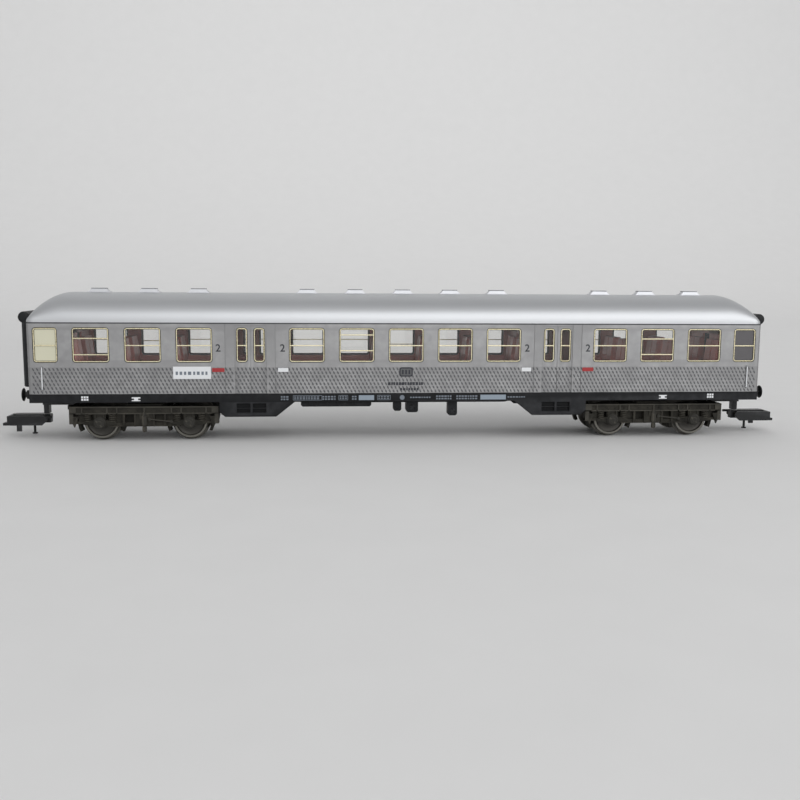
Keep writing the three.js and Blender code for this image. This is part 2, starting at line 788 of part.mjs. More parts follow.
function makeBogieFrame() {
  const sides = [];
  const addPair = (x0, x1, z0, z1, y0 = FRAME_INNER, y1 = FRAME_OUTER) => {
    sides.push(boxPair(x0, x1, y0, y1, z0, z1));
  };
  const chord = axleHeight - 0.3;
  addPair(-frameEnd, frameEnd, beamBottom, frameTop);
  for (const end of [-1, 1]) {
    const post = [end * frameEnd, end * (frameEnd - 1.3)].sort((a, b) => a - b);
    const foot = [end * frameEnd, end * (axleX + 3)].sort((a, b) => a - b);
    addPair(post[0], post[1], chord, beamBottom + 0.1);
    addPair(foot[0], foot[1], chord, chord + 0.8, FRAME_INNER, FRAME_OUTER - 0.5);
  }
  // Between the wheels: lower chord, spring plank ends and the damper.
  const planks = axleX - AXLE_BOX_RADIUS - 0.5;
  addPair(-planks, planks, axleHeight - 1.2, axleHeight, FRAME_INNER, FRAME_OUTER - 0.5);
  addPair(-3.2, 3.2, axleHeight - 1.2, beamBottom + 0.1, FRAME_INNER, FRAME_OUTER - 0.3);
  for (const y of [-FRAME_OUTER, FRAME_OUTER]) {
    sides.push(barZ(0, y, axleHeight - 0.4, axleHeight + 3.6, 0.95, 8));
    sides.push(barZ(0, y, axleHeight - 2.9, axleHeight - 0.3, 0.7, 8));
  }
  for (const x of [-axleX, axleX]) {
    // Axle box on its swing arm, with a coil spring each side.
    addPair(x - 1.9, x + 1.9, axleHeight, beamBottom + 0.1);
    addPair(x - 5.2, x + 5.2, axleHeight - 0.6, axleHeight + 0.5, FRAME_INNER, FRAME_OUTER - 0.2);
    for (const y of [-1, 1]) {
      const boxEnds = [y * FRAME_INNER, y * (FRAME_OUTER + AXLE_BOX_PROUD)].sort((a, b) => a - b);
      sides.push(barY(x, boxEnds[0], boxEnds[1], axleHeight, AXLE_BOX_RADIUS, 12));
      for (const spring of [x - 3.9, x + 3.9]) {
        const middle = y * (FRAME_INNER + FRAME_OUTER) * 0.5;
        sides.push(barZ(spring, middle, axleHeight, beamBottom + 0.1, 1.15, 6));
      }
    }
  }
  // Cross members: both headstocks and the bolster, which carries the pivot.
  const headstocks = [-1, 1].map((end) => {
    const [x0, x1] = [end * frameEnd, end * (frameEnd - HEADSTOCK)].sort((a, b) => a - b);
    return box(x0, x1, -FRAME_OUTER, FRAME_OUTER, beamBottom, frameTop);
  });
  const bolster = box(
    -BOLSTER_HALF_LENGTH,
    BOLSTER_HALF_LENGTH,
    -FRAME_INNER - 0.5,
    FRAME_INNER + 0.5,
    bolsterBottom,
    bolsterTop,
  );
  const tongue = box(
    frameEnd - 0.5,
    frameEnd + TONGUE_LENGTH,
    -TONGUE_WIDTH / 2,
    TONGUE_WIDTH / 2,
    tongueTop - TONGUE_THICKNESS,
    tongueTop,
  );
  const bored = join([
    barZ(0, 0, bolsterBottom - 1, bolsterTop + 1, PIVOT_RADIUS + GAP, 12),
    barZ(
      frameEnd + COUPLER_PIVOT,
      0,
      tongueTop - TONGUE_THICKNESS - 1,
      tongueTop + 1,
      COUPLER_PIN_RADIUS + GAP,
      12,
    ),
    ...[-axleX, axleX].flatMap((x) => [
      barY(x, FRAME_INNER - 1, AXLE_HALF_LENGTH + GAP, axleHeight, AXLE_RADIUS + GAP, 8),
      barY(x, -AXLE_HALF_LENGTH - GAP, -FRAME_INNER + 1, axleHeight, AXLE_RADIUS + GAP, 8),
    ]),
  ]);
  return join([...sides, ...headstocks, bolster, tongue, ...makeBrakes()]).subtract(bored);
}

// Brake blocks either side of each wheel, hung from cross bars above the axle.
function makeBrakes() {
  const BLOCK = 1.1;
  const reach = FLANGE_RADIUS + BRAKE_GAP;
  const pieces = [];
  for (const end of [-1, 1]) {
    const inner = [end * (axleX - reach), end * (axleX - reach - BLOCK)].sort((a, b) => a - b);
    const outer = [end * (axleX + reach), end * (axleX + reach + BLOCK)].sort((a, b) => a - b);
    for (const [x0, x1] of [inner, outer]) {
      pieces.push(
        boxPair(x0, x1, wheelInner + 0.2, wheelOuter, axleHeight - 2.6, axleHeight + 0.6),
      );
      pieces.push(
        boxPair(x0, x1, wheelInner + 0.9, wheelOuter - 0.5, axleHeight, beamBottom + 0.5),
      );
      pieces.push(
        box(x0, x1, -FRAME_INNER - 0.5, FRAME_INNER + 0.5, beamBottom + 0.2, beamBottom + 1.4),
      );
    }
  }
  return pieces;
}

// A wheel on the +Y side, with its flange towards the track's centreline.
function makeWheel() {
  const bore = AXLE_RADIUS + WHEEL_BORE_GAP;
  const web = WHEEL_WIDTH - 0.7;
  const rim = TREAD_RADIUS - 1.0;
  return turned(
    [
      [bore, 0],
      [FLANGE_RADIUS - 0.25, 0],
      [FLANGE_RADIUS, FLANGE_WIDTH * 0.5],
      [TREAD_RADIUS, FLANGE_WIDTH],
      [TREAD_RADIUS, WHEEL_WIDTH],
      [rim, web],
      [HUB_RADIUS, web],
      [bore, WHEEL_WIDTH],
      [bore, 0],
    ],
    20,
  );
}

function makeAxle() {
  const shoulder = AXLE_HALF_LENGTH - AXLE_POINT;
  return turned(
    [
      [0, -AXLE_HALF_LENGTH],
      [AXLE_RADIUS * 0.3, -AXLE_HALF_LENGTH],
      [AXLE_RADIUS, -shoulder],
      [AXLE_RADIUS, shoulder],
      [AXLE_RADIUS * 0.3, AXLE_HALF_LENGTH],
      [0, AXLE_HALF_LENGTH],
    ],
    12,
  );
}

// The pivot screw, head down, from under the bolster into the underframe.
function makePivotScrew() {
  const shank = barZ(0, 0, bolsterBottom - GAP - 0.2, bolsterTop + GAP + PIVOT_THREAD, PIVOT_RADIUS);
  const head = barZ(
    0,
    0,
    bolsterBottom - GAP - PIVOT_HEAD_HEIGHT,
    bolsterBottom - GAP,
    PIVOT_HEAD_RADIUS,
    16,
  );
  const slot = box(
    -PIVOT_HEAD_RADIUS - 1,
    PIVOT_HEAD_RADIUS + 1,
    -0.3,
    0.3,
    bolsterBottom - GAP - PIVOT_HEAD_HEIGHT - 1,
    bolsterBottom - GAP - PIVOT_HEAD_HEIGHT * 0.5,
  );
  return shank.add(head).subtract(slot);
}

// ---------------------------------------------------------------- couplings

function makeCouplerArm() {
  const start = frameEnd + ARM_START;
  const end = frameEnd + ARM_END;
  const arm = box(start, end, -TONGUE_WIDTH / 2, TONGUE_WIDTH / 2, armBottom, armTop);
  const pin = barZ(
    frameEnd + COUPLER_PIVOT,
    0,
    tongueTop - TONGUE_THICKNESS,
    armBottom + 0.5,
    COUPLER_PIN_RADIUS,
  );
  const post = box(
    end - POST_LENGTH,
    end,
    -POST_WIDTH / 2,
    POST_WIDTH / 2,
    HEAD_TOP + GAP,
    armBottom + 0.5,
  );
  const eye = barY(
    frameEnd + ARM_EYE,
    -TONGUE_WIDTH,
    TONGUE_WIDTH,
    (armBottom + armTop) / 2,
    ARM_EYE_RADIUS,
    10,
  );
  return join([arm, pin, post]).subtract(eye);
}

// The fixed half: a block under the post, a bar over the loop's cross bar, and the hook.
function makeCouplerHead() {
  const start = frameEnd + ARM_END - POST_LENGTH - 0.4;
  const barStart = frameEnd + LOOP_HINGE + 1.7;
  const hookStart = frameEnd + HOOK_REACH - 4.2;
  const hookEnd = frameEnd + HOOK_REACH;
  const low = HEAD_BOTTOM + 0.9;
  const barLow = HEAD_TOP - 1.0;
  const shape = outline([
    [start, HEAD_TOP],
    [start, LOOP_HINGE_HEIGHT - 1.6],
    [barStart, LOOP_HINGE_HEIGHT - 1.6],
    [barStart, barLow],
    [hookStart, barLow],
    [hookStart, low],
    [hookStart + 0.8, HEAD_BOTTOM - 0.35],
    [frameEnd + LIP_REACH, HEAD_BOTTOM - 0.35],
    [frameEnd + LIP_REACH, HEAD_BOTTOM + 0.5],
    [hookEnd, low],
    [hookEnd, HEAD_TOP + 0.1],
    [hookEnd - 1.2, HEAD_TOP],
  ]);
  const block = acrossPrism(shape, -HOOK_WIDTH / 2, HOOK_WIDTH / 2);
  const hinge = barY(
    frameEnd + LOOP_HINGE,
    -HOOK_WIDTH,
    HOOK_WIDTH,
    LOOP_HINGE_HEIGHT,
    LOOP_HINGE_RADIUS + GAP,
    10,
  );
  return block.subtract(hinge);
}

// The lifting half: a loop of plate hinged behind the hook, with its trip and guard pins.
function makeCouplerLoop() {
  const hingeX = frameEnd + LOOP_HINGE;
  const front = frameEnd + LOOP_REACH;
  const outer = LOOP_WIDTH / 2;
  const inner = outer - LOOP_PLATE;
  const low = HEAD_BOTTOM;
  const high = HEAD_TOP - 0.2;
  const cheek = outline([
    [hingeX - 1.4, LOOP_HINGE_HEIGHT - 0.7],
    [hingeX + 0.2, low],
    [front - 0.9, low],
    [front, low + 0.9],
    [front, high - 0.6],
    [front - 0.8, high],
    [hingeX - 0.4, high],
    [hingeX - 1.4, high - 0.4],
  ]);
  const guardY = outer - 0.9;
  const pin = frameEnd + TRIP_PIN;
  const guard = frameEnd + GUARD_PIN;
  return join([
    acrossPrism(cheek, inner, outer),
    acrossPrism(cheek, -outer, -inner),
    barY(hingeX, -outer, outer, LOOP_HINGE_HEIGHT, LOOP_HINGE_RADIUS, 10),
    barX(hingeX - 3.1, hingeX - 0.8, inner + 0.2, LOOP_HINGE_HEIGHT + 0.5, 0.45, 8),
    box(front - 0.8, front, -outer, outer, low + 1.3, high - 0.1),
    box(pin - 0.5, pin + 0.5, -outer, outer, low, low + 0.55),
    barZ(pin, 0, TRIP_PIN_FOOT, low + 0.3, 0.42, 8),
    barZ(pin, 0, TRIP_PIN_FOOT, TRIP_PIN_FOOT + 0.45, 0.85, 10),
    box(guard - 0.75, guard + 0.75, guardY, outer, GUARD_PIN_FOOT, low + 0.5),
  ]);
}

// ---------------------------------------------------------------- finishes

const FINISH = {
  silver: { color: 0x9a9b9d, roughness: 0.42, metalness: 0.7 },
  roof: { color: 0xb4b7ba, roughness: 0.4, metalness: 0.6 },
  glass: { color: 0xcfd3cc, roughness: 0.08, metalness: 0 },
  black: { color: 0x222325, roughness: 0.55, metalness: 0 },
  bogie: { color: 0x33312c, roughness: 0.65, metalness: 0 },
  rubber: { color: 0x151719, roughness: 0.75, metalness: 0 },
  interior: { color: 0x6b2a22, roughness: 0.6, metalness: 0 },
  steel: { color: 0x8c8e90, roughness: 0.35, metalness: 0.9 },
  wheel: { color: 0x403c36, roughness: 0.4, metalness: 0.6 },
  white: { color: 0xe6e7e4, roughness: 0.5, metalness: 0 },
};

function addMesh(group, name, shape, finish) {
  const geometry = shape.isBufferGeometry ? shape : geometryOf(shape);
  const mesh = new THREE.Mesh(geometry, new THREE.MeshStandardMaterial(FINISH[finish]));
  mesh.name = name;
  group.add(mesh);
  return mesh;
}

// ---------------------------------------------------------------- the coach

const coach = new THREE.Group();

addMesh(coach, 'body_shell', makeBodyShell(), 'silver');
addMesh(coach, 'roof', makeRoof(), 'roof');
saloonWindows.forEach((x, i) => {
  addMesh(coach, `roof_vent_${i + 1}`, makeVent(x), 'roof');
});
addMesh(coach, 'underframe', makeUnderframe(), 'black');
addMesh(coach, 'ballast_plate', makeBallast(), 'steel');
addMesh(coach, 'interior', makeInterior(), 'interior');
UNDERFLOOR.forEach((item) => {
  addMesh(coach, item[0], makeUnderfloor(item), 'black');
});
addMesh(coach, 'destination_plate', makeDestinationPlate(), 'white');

addMesh(coach, 'glazing_near', makeGlazing(), 'glass');
addMesh(coach, 'glazing_far', makeGlazing(), 'glass').rotation.z = Math.PI;

// Both ends carry the same pieces; the left one is the right one turned about Z.
for (const { end, turn } of [
  { end: 'left', turn: Math.PI },
  { end: 'right', turn: 0 },
]) {
  const fittings = new THREE.Group();
  fittings.rotation.z = turn;
  coach.add(fittings);
  addMesh(fittings, `gangway_bellows_${end}`, makeGangway(), 'rubber');
  addMesh(fittings, `end_door_${end}`, makeEndDoor(), 'silver');

  const bogie = new THREE.Group();
  bogie.position.x = Math.cos(turn) * pivotX;
  bogie.rotation.z = turn;
  coach.add(bogie);
  addMesh(bogie, `pivot_screw_${end}`, makePivotScrew(), 'steel');
  addMesh(bogie, `bogie_frame_${end}`, makeBogieFrame(), 'bogie');
  addMesh(bogie, `coupler_arm_${end}`, makeCouplerArm(), 'black');
  addMesh(bogie, `coupler_head_${end}`, makeCouplerHead(), 'black');
  addMesh(bogie, `coupler_loop_${end}`, makeCouplerLoop(), 'black');

  for (const { side, sign } of [
    { side: 'near', sign: -Math.cos(turn) },
    { side: 'far', sign: Math.cos(turn) },
  ]) {
    addMesh(fittings, `buffer_${end}_${side}`, makeBuffer((sign * BUFFER_SPACING) / 2), 'black');
    const rail = sign > 0 ? makeHandrail() : makeHandrail().mirror([0, 1, 0]);
    addMesh(fittings, `handrail_${end}_${side}`, rail, 'white');
  }

  for (const { place, x } of [
    { place: 'outer', x: axleX },
    { place: 'inner', x: -axleX },
  ]) {
    const wheelset = new THREE.Group();
    wheelset.position.set(x, 0, axleHeight);
    bogie.add(wheelset);
    addMesh(wheelset, `axle_${end}_${place}`, makeAxle(), 'steel');
    for (const { side, sign } of [
      { side: 'near', sign: -Math.cos(turn) },
      { side: 'far', sign: Math.cos(turn) },
    ]) {
      const wheel = addMesh(wheelset, `wheel_${end}_${place}_${side}`, makeWheel(), 'wheel');
      wheel.rotation.z = sign > 0 ? 0 : Math.PI;
      wheel.position.y = sign * wheelInner;
    }
  }
}

export default coach;
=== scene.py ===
# %% [markdown]
# # A model passenger coach
# This lesson dresses a packed mechanical model of a 1:87 coach. The frame already holds every
# part at its real place and size, so the work here is only what the eye sees: smooth shells,
# window frames, coil springs, paint, rubber and glass. All shapes are modelled in millimetres,
# because the numbers stay readable, and each finished piece is scaled to metres once.

import math

import bmesh
import bpy
from mathutils import Matrix, Vector


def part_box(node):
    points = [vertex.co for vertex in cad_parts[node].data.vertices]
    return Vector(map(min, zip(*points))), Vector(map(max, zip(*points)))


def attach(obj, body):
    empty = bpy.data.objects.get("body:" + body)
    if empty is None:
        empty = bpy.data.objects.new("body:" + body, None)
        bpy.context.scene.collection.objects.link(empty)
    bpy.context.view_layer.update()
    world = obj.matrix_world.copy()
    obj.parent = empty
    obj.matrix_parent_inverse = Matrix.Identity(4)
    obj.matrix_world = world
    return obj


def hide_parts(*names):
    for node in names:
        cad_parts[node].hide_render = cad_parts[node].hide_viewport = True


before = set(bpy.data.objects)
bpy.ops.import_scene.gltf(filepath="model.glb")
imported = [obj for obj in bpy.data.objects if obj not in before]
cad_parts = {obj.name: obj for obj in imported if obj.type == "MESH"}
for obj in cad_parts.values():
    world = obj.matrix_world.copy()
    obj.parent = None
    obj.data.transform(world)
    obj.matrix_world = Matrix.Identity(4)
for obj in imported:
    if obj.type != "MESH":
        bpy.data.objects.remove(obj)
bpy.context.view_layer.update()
MM = 0.001


def corners(*nodes):
    """The lowest and highest corners around some frame nodes, in millimetres."""
    boxes = [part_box(node) for node in nodes]
    low = Vector([min(box[0][axis] for box in boxes) for axis in range(3)])
    high = Vector([max(box[1][axis] for box in boxes) for axis in range(3)])
    return low / MM, high / MM


body_low, body_high = corners("body_shell")
END, SIDE = body_high.x, body_high.y
SILL, GUTTER = body_low.z, body_high.z
CROWN = corners("roof")[1].z
PIVOT = sum(corners("pivot_screw_right")[i].x for i in (0, 1)) / 2
AXLE_HEIGHT = sum(corners("axle_right_inner")[i].z for i in (0, 1)) / 2
print(f"side {SILL:.2f} to {GUTTER:.2f} mm, end {END:.2f}, crown {CROWN:.2f}, pivot {PIVOT:.2f}")

# %% [markdown]
# ## The camera
# The camera comes first, so that every later piece is judged from the same place. It stands
# about 30 cm in front of the coach, a little left of its middle and a little above the roof,
# which is how a collector looks at a model on a table. Yaw, pitch and roll are turned into a
# matrix by hand, which keeps the order of the three turns clear.

# %% Camera
CAMERA_PLACE = Vector((-28.573, -312.986, 53.4)) * MM
CAMERA_YAW = math.radians(-5.112)
CAMERA_PITCH = math.radians(7.594)
CAMERA_ROLL = math.radians(0.403)
CAMERA_LENS = 41.51


def place_camera():
    right = Vector((math.cos(CAMERA_YAW), math.sin(CAMERA_YAW), 0))
    level = Vector((-math.sin(CAMERA_YAW), math.cos(CAMERA_YAW), 0))
    ahead = level * math.cos(CAMERA_PITCH) - Vector((0, 0, math.sin(CAMERA_PITCH)))
    up = right.cross(ahead)
    x_axis = right * math.cos(CAMERA_ROLL) + up * math.sin(CAMERA_ROLL)
    y_axis = up * math.cos(CAMERA_ROLL) - right * math.sin(CAMERA_ROLL)
    camera = bpy.data.objects.new("camera", bpy.data.cameras.new("camera"))
    camera.data.lens = CAMERA_LENS
    camera.data.sensor_width = 36
    camera.data.clip_start = 0.01
    turn = Matrix((x_axis, y_axis, -ahead)).transposed().to_4x4()
    camera.matrix_world = Matrix.Translation(CAMERA_PLACE) @ turn
    bpy.context.scene.collection.objects.link(camera)
    bpy.context.scene.camera = camera
    return camera


camera = place_camera()
print("camera lens", camera.data.lens)

# %% [markdown]
# ## Nodes in few words
# Shader trees and geometry trees are both made of nodes and links. One helper adds a node, sets
# its options and fills its sockets: a socket given another socket is linked, and a socket given
# a plain value keeps that value. Each tree then reads from top to bottom like a recipe.

# %% Node helpers
def add(tree, kind, inputs=None, **options):
    """A new node, with its inputs linked or set."""
    node = tree.nodes.new(kind)
    for name, value in options.items():
        setattr(node, name, value)
    for name, value in (inputs or {}).items():
        if isinstance(value, bpy.types.NodeSocket):
            tree.links.new(value, node.inputs[name])
        else:
            node.inputs[name].default_value = value
    return node


def math_node(tree, operation, first, second=0.0, third=0.0):
    node = add(tree, "ShaderNodeMath", {0: first, 1: second, 2: third}, operation=operation)
    return node.outputs[0]


def mix_colour(tree, factor, first, second, blend="MIX"):
    node = add(tree, "ShaderNodeMix", data_type="RGBA", blend_type=blend)
    for index, value in ((0, factor), (6, first), (7, second)):
        if isinstance(value, bpy.types.NodeSocket):
            tree.links.new(value, node.inputs[index])
        else:
            node.inputs[index].default_value = value
    return node.outputs[2]


def linear(red, green, blue):
    """A display colour from 0 to 255 as the linear colour that shaders use."""
    shares = [value / 255 for value in (red, green, blue)]
    lit = [s / 12.92 if s <= 0.04045 else ((s + 0.055) / 1.055) ** 2.4 for s in shares]
    return (*lit, 1.0)


def shader_group(name, inputs, outputs):
    group = bpy.data.node_groups.new(name, "ShaderNodeTree")
    for label, kind, value in inputs:
        socket = group.interface.new_socket(label, in_out="INPUT", socket_type=kind)
        if value is not None:
            socket.default_value = value
    for label, kind in outputs:
        group.interface.new_socket(label, in_out="OUTPUT", socket_type=kind)
    return group


print("node helpers ready")

# %% [markdown]
# ## Three effects that every finish shares
# Moulded and sprayed parts are never one flat tone. A fine grain breaks the gloss, the sharpest
# edges rub bright or pale, and a little dust settles on whatever faces up. Each effect is one
# shader group that is built once. The groups put out only masks and values, and each material
# decides what to do with them.

# %% Fine grain
def build_grain_group():
    group = shader_group(
        "Fine grain",
        [
            ("Vector", "NodeSocketVector", None),
            ("Scale", "NodeSocketFloat", 3000.0),
            ("Variation", "NodeSocketFloat", 0.1),
            ("Cloud Scale", "NodeSocketFloat", 60.0),
        ],
        [("Tone", "NodeSocketFloat"), ("Height", "NodeSocketFloat")],
    )
    given = add(group, "NodeGroupInput").outputs
    fine = add(group, "ShaderNodeTexNoise", {"Vector": given["Vector"], "Scale": given["Scale"]})
    cloud = add(
        group, "ShaderNodeTexNoise", {"Vector": given["Vector"], "Scale": given["Cloud Scale"]}
    )
    both = math_node(group, "ADD", fine.outputs[0], cloud.outputs[0])
    swing = math_node(group, "SUBTRACT", both, 1.0)
    tone = math_node(group, "MULTIPLY_ADD", swing, given["Variation"], 1.0)
    add(group, "NodeGroupOutput", {"Tone": tone, "Height": fine.outputs[0]})
    return group


grain_group = build_grain_group()
print("grain outputs", [s.name for s in grain_group.interface.items_tree if s.in_out == "OUTPUT"])

# %% Edge wear
def build_wear_group():
    group = shader_group(
        "Edge wear",
        [
            ("Vector", "NodeSocketVector", None),
            ("Start", "NodeSocketFloat", 0.52),
            ("Full", "NodeSocketFloat", 0.62),
            ("Amount", "NodeSocketFloat", 0.5),
        ],
        [("Mask", "NodeSocketFloat")],
    )
    given = add(group, "NodeGroupInput").outputs
    shape = add(group, "ShaderNodeNewGeometry")
    edge = add(
        group,
        "ShaderNodeMapRange",
        {"Value": shape.outputs["Pointiness"], 1: given["Start"], 2: given["Full"]},
    )
    patches = add(group, "ShaderNodeTexNoise", {"Vector": given["Vector"], "Scale": 420.0})
    broken = math_node(group, "MULTIPLY", edge.outputs[0], patches.outputs[0])
    mask = math_node(group, "MULTIPLY", broken, given["Amount"])
    add(group, "NodeGroupOutput", {"Mask": mask})
    return group


wear_group = build_wear_group()

# %% Settled dust
def build_dust_group():
    group = shader_group(
        "Settled dust",
        [("Vector", "NodeSocketVector", None), ("Amount", "NodeSocketFloat", 0.2)],
        [("Mask", "NodeSocketFloat")],
    )
    given = add(group, "NodeGroupInput").outputs
    shape = add(group, "ShaderNodeNewGeometry")
    facing = add(group, "ShaderNodeSeparateXYZ", {0: shape.outputs["Normal"]})
    upward = math_node(group, "MAXIMUM", facing.outputs["Z"], 0.0)
    specks = add(group, "ShaderNodeTexNoise", {"Vector": given["Vector"], "Scale": 900.0})
    uneven = math_node(group, "MULTIPLY", upward, specks.outputs[0])
    mask = math_node(group, "MULTIPLY", uneven, given["Amount"])
    add(group, "NodeGroupOutput", {"Mask": mask})
    return group


dust_group = build_dust_group()
print("shared groups:", grain_group.name, wear_group.name, dust_group.name)

# %% [markdown]
# ## One recipe for a finish
# Paint, plastic, rubber and metal differ in colour, gloss and how they wear, not in how their
# material is put together. So one function builds them all from the three shared groups, and
# each finish is a short call with its own numbers. Values that are the same all over a surface,
# such as the shine, go straight on the shader.

# %% Finish recipe
DUST = linear(176, 170, 158)


def begin_material(name):
    material = bpy.data.materials.new(name)
    material.use_nodes = True
    tree = material.node_tree
    tree.nodes.clear()
    shader = add(tree, "ShaderNodeBsdfPrincipled")
    add(tree, "ShaderNodeOutputMaterial", {"Surface": shader.outputs[0]})
    place = add(tree, "ShaderNodeTexCoord").outputs["Object"]
    return material, tree, shader, place


def use_group(tree, group, inputs):
    node = add(tree, "ShaderNodeGroup", node_tree=group)
    for name, value in inputs.items():
        if isinstance(value, bpy.types.NodeSocket):
            tree.links.new(value, node.inputs[name])
        else:
            node.inputs[name].default_value = value
    return node.outputs


def finish(
    name, colour, rough, metal=0.0, grain=3000.0, vary=0.1, relief=0.1,
    worn=None, wear=0.0, dust=0.0, shine=0.5, wash=None,
):
    """A material from the three shared groups. shine is the strength of its clear reflection,
    and wash is a function that gets the tree, the place and the colour so far."""
    material, tree, shader, place = begin_material(name)
    fine = use_group(tree, grain_group, {"Vector": place, "Scale": grain, "Variation": vary})
    grey = add(
        tree, "ShaderNodeCombineColor", {0: fine["Tone"], 1: fine["Tone"], 2: fine["Tone"]}
    )
    shown = mix_colour(tree, 1.0, colour, grey.outputs[0], "MULTIPLY")
    if wash:
        shown = wash(tree, place, shown)
    if wear:
        mask = use_group(tree, wear_group, {"Vector": place, "Amount": wear})["Mask"]
        shown = mix_colour(tree, mask, shown, worn)
    roughness = math_node(tree, "MULTIPLY_ADD", fine["Height"], 0.16, rough - 0.08)
    if dust:
        mask = use_group(tree, dust_group, {"Vector": place, "Amount": dust})["Mask"]
        shown = mix_colour(tree, mask, shown, DUST)
        roughness = math_node(tree, "MULTIPLY_ADD", mask, 0.4, roughness)
    bump = add(tree, "ShaderNodeBump", {"Height": fine["Height"], "Strength": relief})
    bump.inputs["Distance"].default_value = 0.05 * MM
    tree.links.new(shown, shader.inputs["Base Color"])
    tree.links.new(roughness, shader.inputs["Roughness"])
    tree.links.new(bump.outputs[0], shader.inputs["Normal"])
    shader.inputs["Metallic"].default_value = metal
    shader.inputs["Specular IOR Level"].default_value = shine
    return material


print("finish recipe ready")

# %% [markdown]
# ## The silver paints
# The sides are sprayed a grey silver, and the roof a lighter one. Metal flakes make such paint
# gloss broadly, so it is half metallic with a middling roughness. The lower half of each side
# carries a stamped pattern of short strokes, which have a darker silver of their own. The ground
# between them is darkened as painted shade, the shade of the hollows between the strokes: a thin
# darker wash is laid below the waist by height alone.

# %% Silver paints
PATTERN_TOP = SILL + 8.53


# Painted shade: everything below the waist is darkened by height alone, standing for the shade
# between the stamped strokes.
def shade_below_waist(tree, place, colour):
    height = add(tree, "ShaderNodeSeparateXYZ", {0: place}).outputs["Z"]
    below = math_node(tree, "LESS_THAN", height, PATTERN_TOP * MM)
    return mix_colour(tree, below, colour, linear(129, 129, 130))


silver_side = finish(
    "silver side paint", linear(142, 142, 143), 0.40, 0.65, grain=5200, vary=0.07, relief=0.08,
    worn=linear(205, 205, 206), wear=0.5, dust=0.05, wash=shade_below_waist,
)
silver_stroke = finish(
    "silver stamped strokes", linear(94, 95, 97), 0.45, 0.45, grain=5200, vary=0.08, relief=0.05,
)
silver_roof = finish(
    "silver roof paint", linear(198, 200, 203), 0.44, 0.85, grain=4600, vary=0.05, relief=0.07,
    worn=linear(225, 226, 230), wear=0.4, dust=0.05,
)
hood_silver = finish(
    "silver hood paint", linear(198, 200, 204), 0.34, 0.7, grain=4600, vary=0.06,
    worn=linear(235, 236, 240), wear=0.6,
)
hood_line = finish("hood lid grey", linear(104, 105, 108), 0.5, 0.4, grain=2600)
# Painted shadow: this dark grey is laid on the gutter strip to stand for the shade in the joint
# between roof and side.
gutter_shadow_paint = finish("dark gutter seam", linear(52, 53, 57), 0.55, grain=2600)
print("silver paints:", silver_side.name, silver_roof.name)

# %% [markdown]
# ## Plastics, metals, print and glass
# The running gear is moulded in nearly black plastic that has gone slightly brown and dusty,
# which is why its edges read lighter than its faces. The window frames are hot-foiled in pale
# gold. Glass lets lamp light straight through to the seats by a Light Path switch, because a
# clear moulding this thin casts hardly any shadow.

# %% Plastics and metals
chassis_black = finish(
    "chassis black plastic", linear(17, 18, 20), 0.5, grain=2200, vary=0.2, relief=0.15,
    worn=linear(80, 81, 84), wear=0.5, dust=0.03, shine=0.14,
)
bogie_black = finish(
    "bogie black plastic", linear(19, 19, 18), 0.6, grain=1800, vary=0.3, relief=0.22,
    worn=linear(112, 108, 98), wear=0.6, dust=0.05, shine=0.1,
)
# A lighter copy of the bogie plastic: painted highlight on the outward faces of the side frames,
# with the same wear and dust.
bogie_highlit = finish(
    "bogie highlit plastic", linear(47, 46, 43), 0.55, grain=1800, vary=0.35, relief=0.2,
    worn=linear(112, 108, 98), wear=0.6, dust=0.05, shine=0.15,
)
coupling_black = finish(
    "coupling black plastic", linear(22, 23, 24), 0.38, grain=2400, vary=0.2, relief=0.12,
    worn=linear(90, 91, 94), wear=0.5, dust=0.04, shine=0.3,
)
rubber_black = finish(
    "gangway rubber", linear(18, 20, 23), 0.5, grain=1600, vary=0.25, relief=0.2,
    worn=linear(80, 84, 86), wear=0.4, dust=0.03, shine=0.3,
)
seat_brown = finish(
    "seat brown plastic", linear(188, 108, 100), 0.38, grain=1500, vary=0.22, relief=0.12,
    worn=linear(220, 160, 150), wear=0.5, dust=0.04,
)
gilt_foil = finish(
    "gilt foil", linear(226, 216, 180), 0.28, 0.7, grain=3800, vary=0.14, relief=0.12,
    worn=linear(246, 240, 214), wear=0.5,
)
tread_steel = finish(
    "tread steel", linear(118, 116, 110), 0.34, 0.9, grain=2600, vary=0.18, relief=0.1,
)
wheel_black = finish(
    "blackened wheel", linear(58, 56, 52), 0.42, 0.5, grain=2000, vary=0.3, relief=0.15,
    worn=linear(120, 116, 108), wear=0.6, dust=0.12,
)
axle_steel = finish("axle steel", linear(150, 150, 152), 0.3, 0.95, grain=2400, vary=0.12)
zinc_weight = finish(
    "zinc weight", linear(120, 122, 126), 0.5, 0.8, grain=700, vary=0.25, relief=0.3
)
screw_steel = finish("screw steel", linear(170, 168, 160), 0.28, 0.95, grain=2600, vary=0.12)

# %% Prints
print_white = finish("white print", linear(222, 224, 227), 0.45, grain=2600, vary=0.06)
print_red = finish("red print", linear(158, 40, 44), 0.42, grain=2600, vary=0.08)
print_black = finish("black print", linear(38, 40, 48), 0.5, grain=2600, vary=0.08)
print_grey = finish("blue grey print", linear(136, 148, 160), 0.5, grain=2600, vary=0.12)
print_faint = finish("faint print", linear(112, 120, 130), 0.55, grain=2600, vary=0.25)

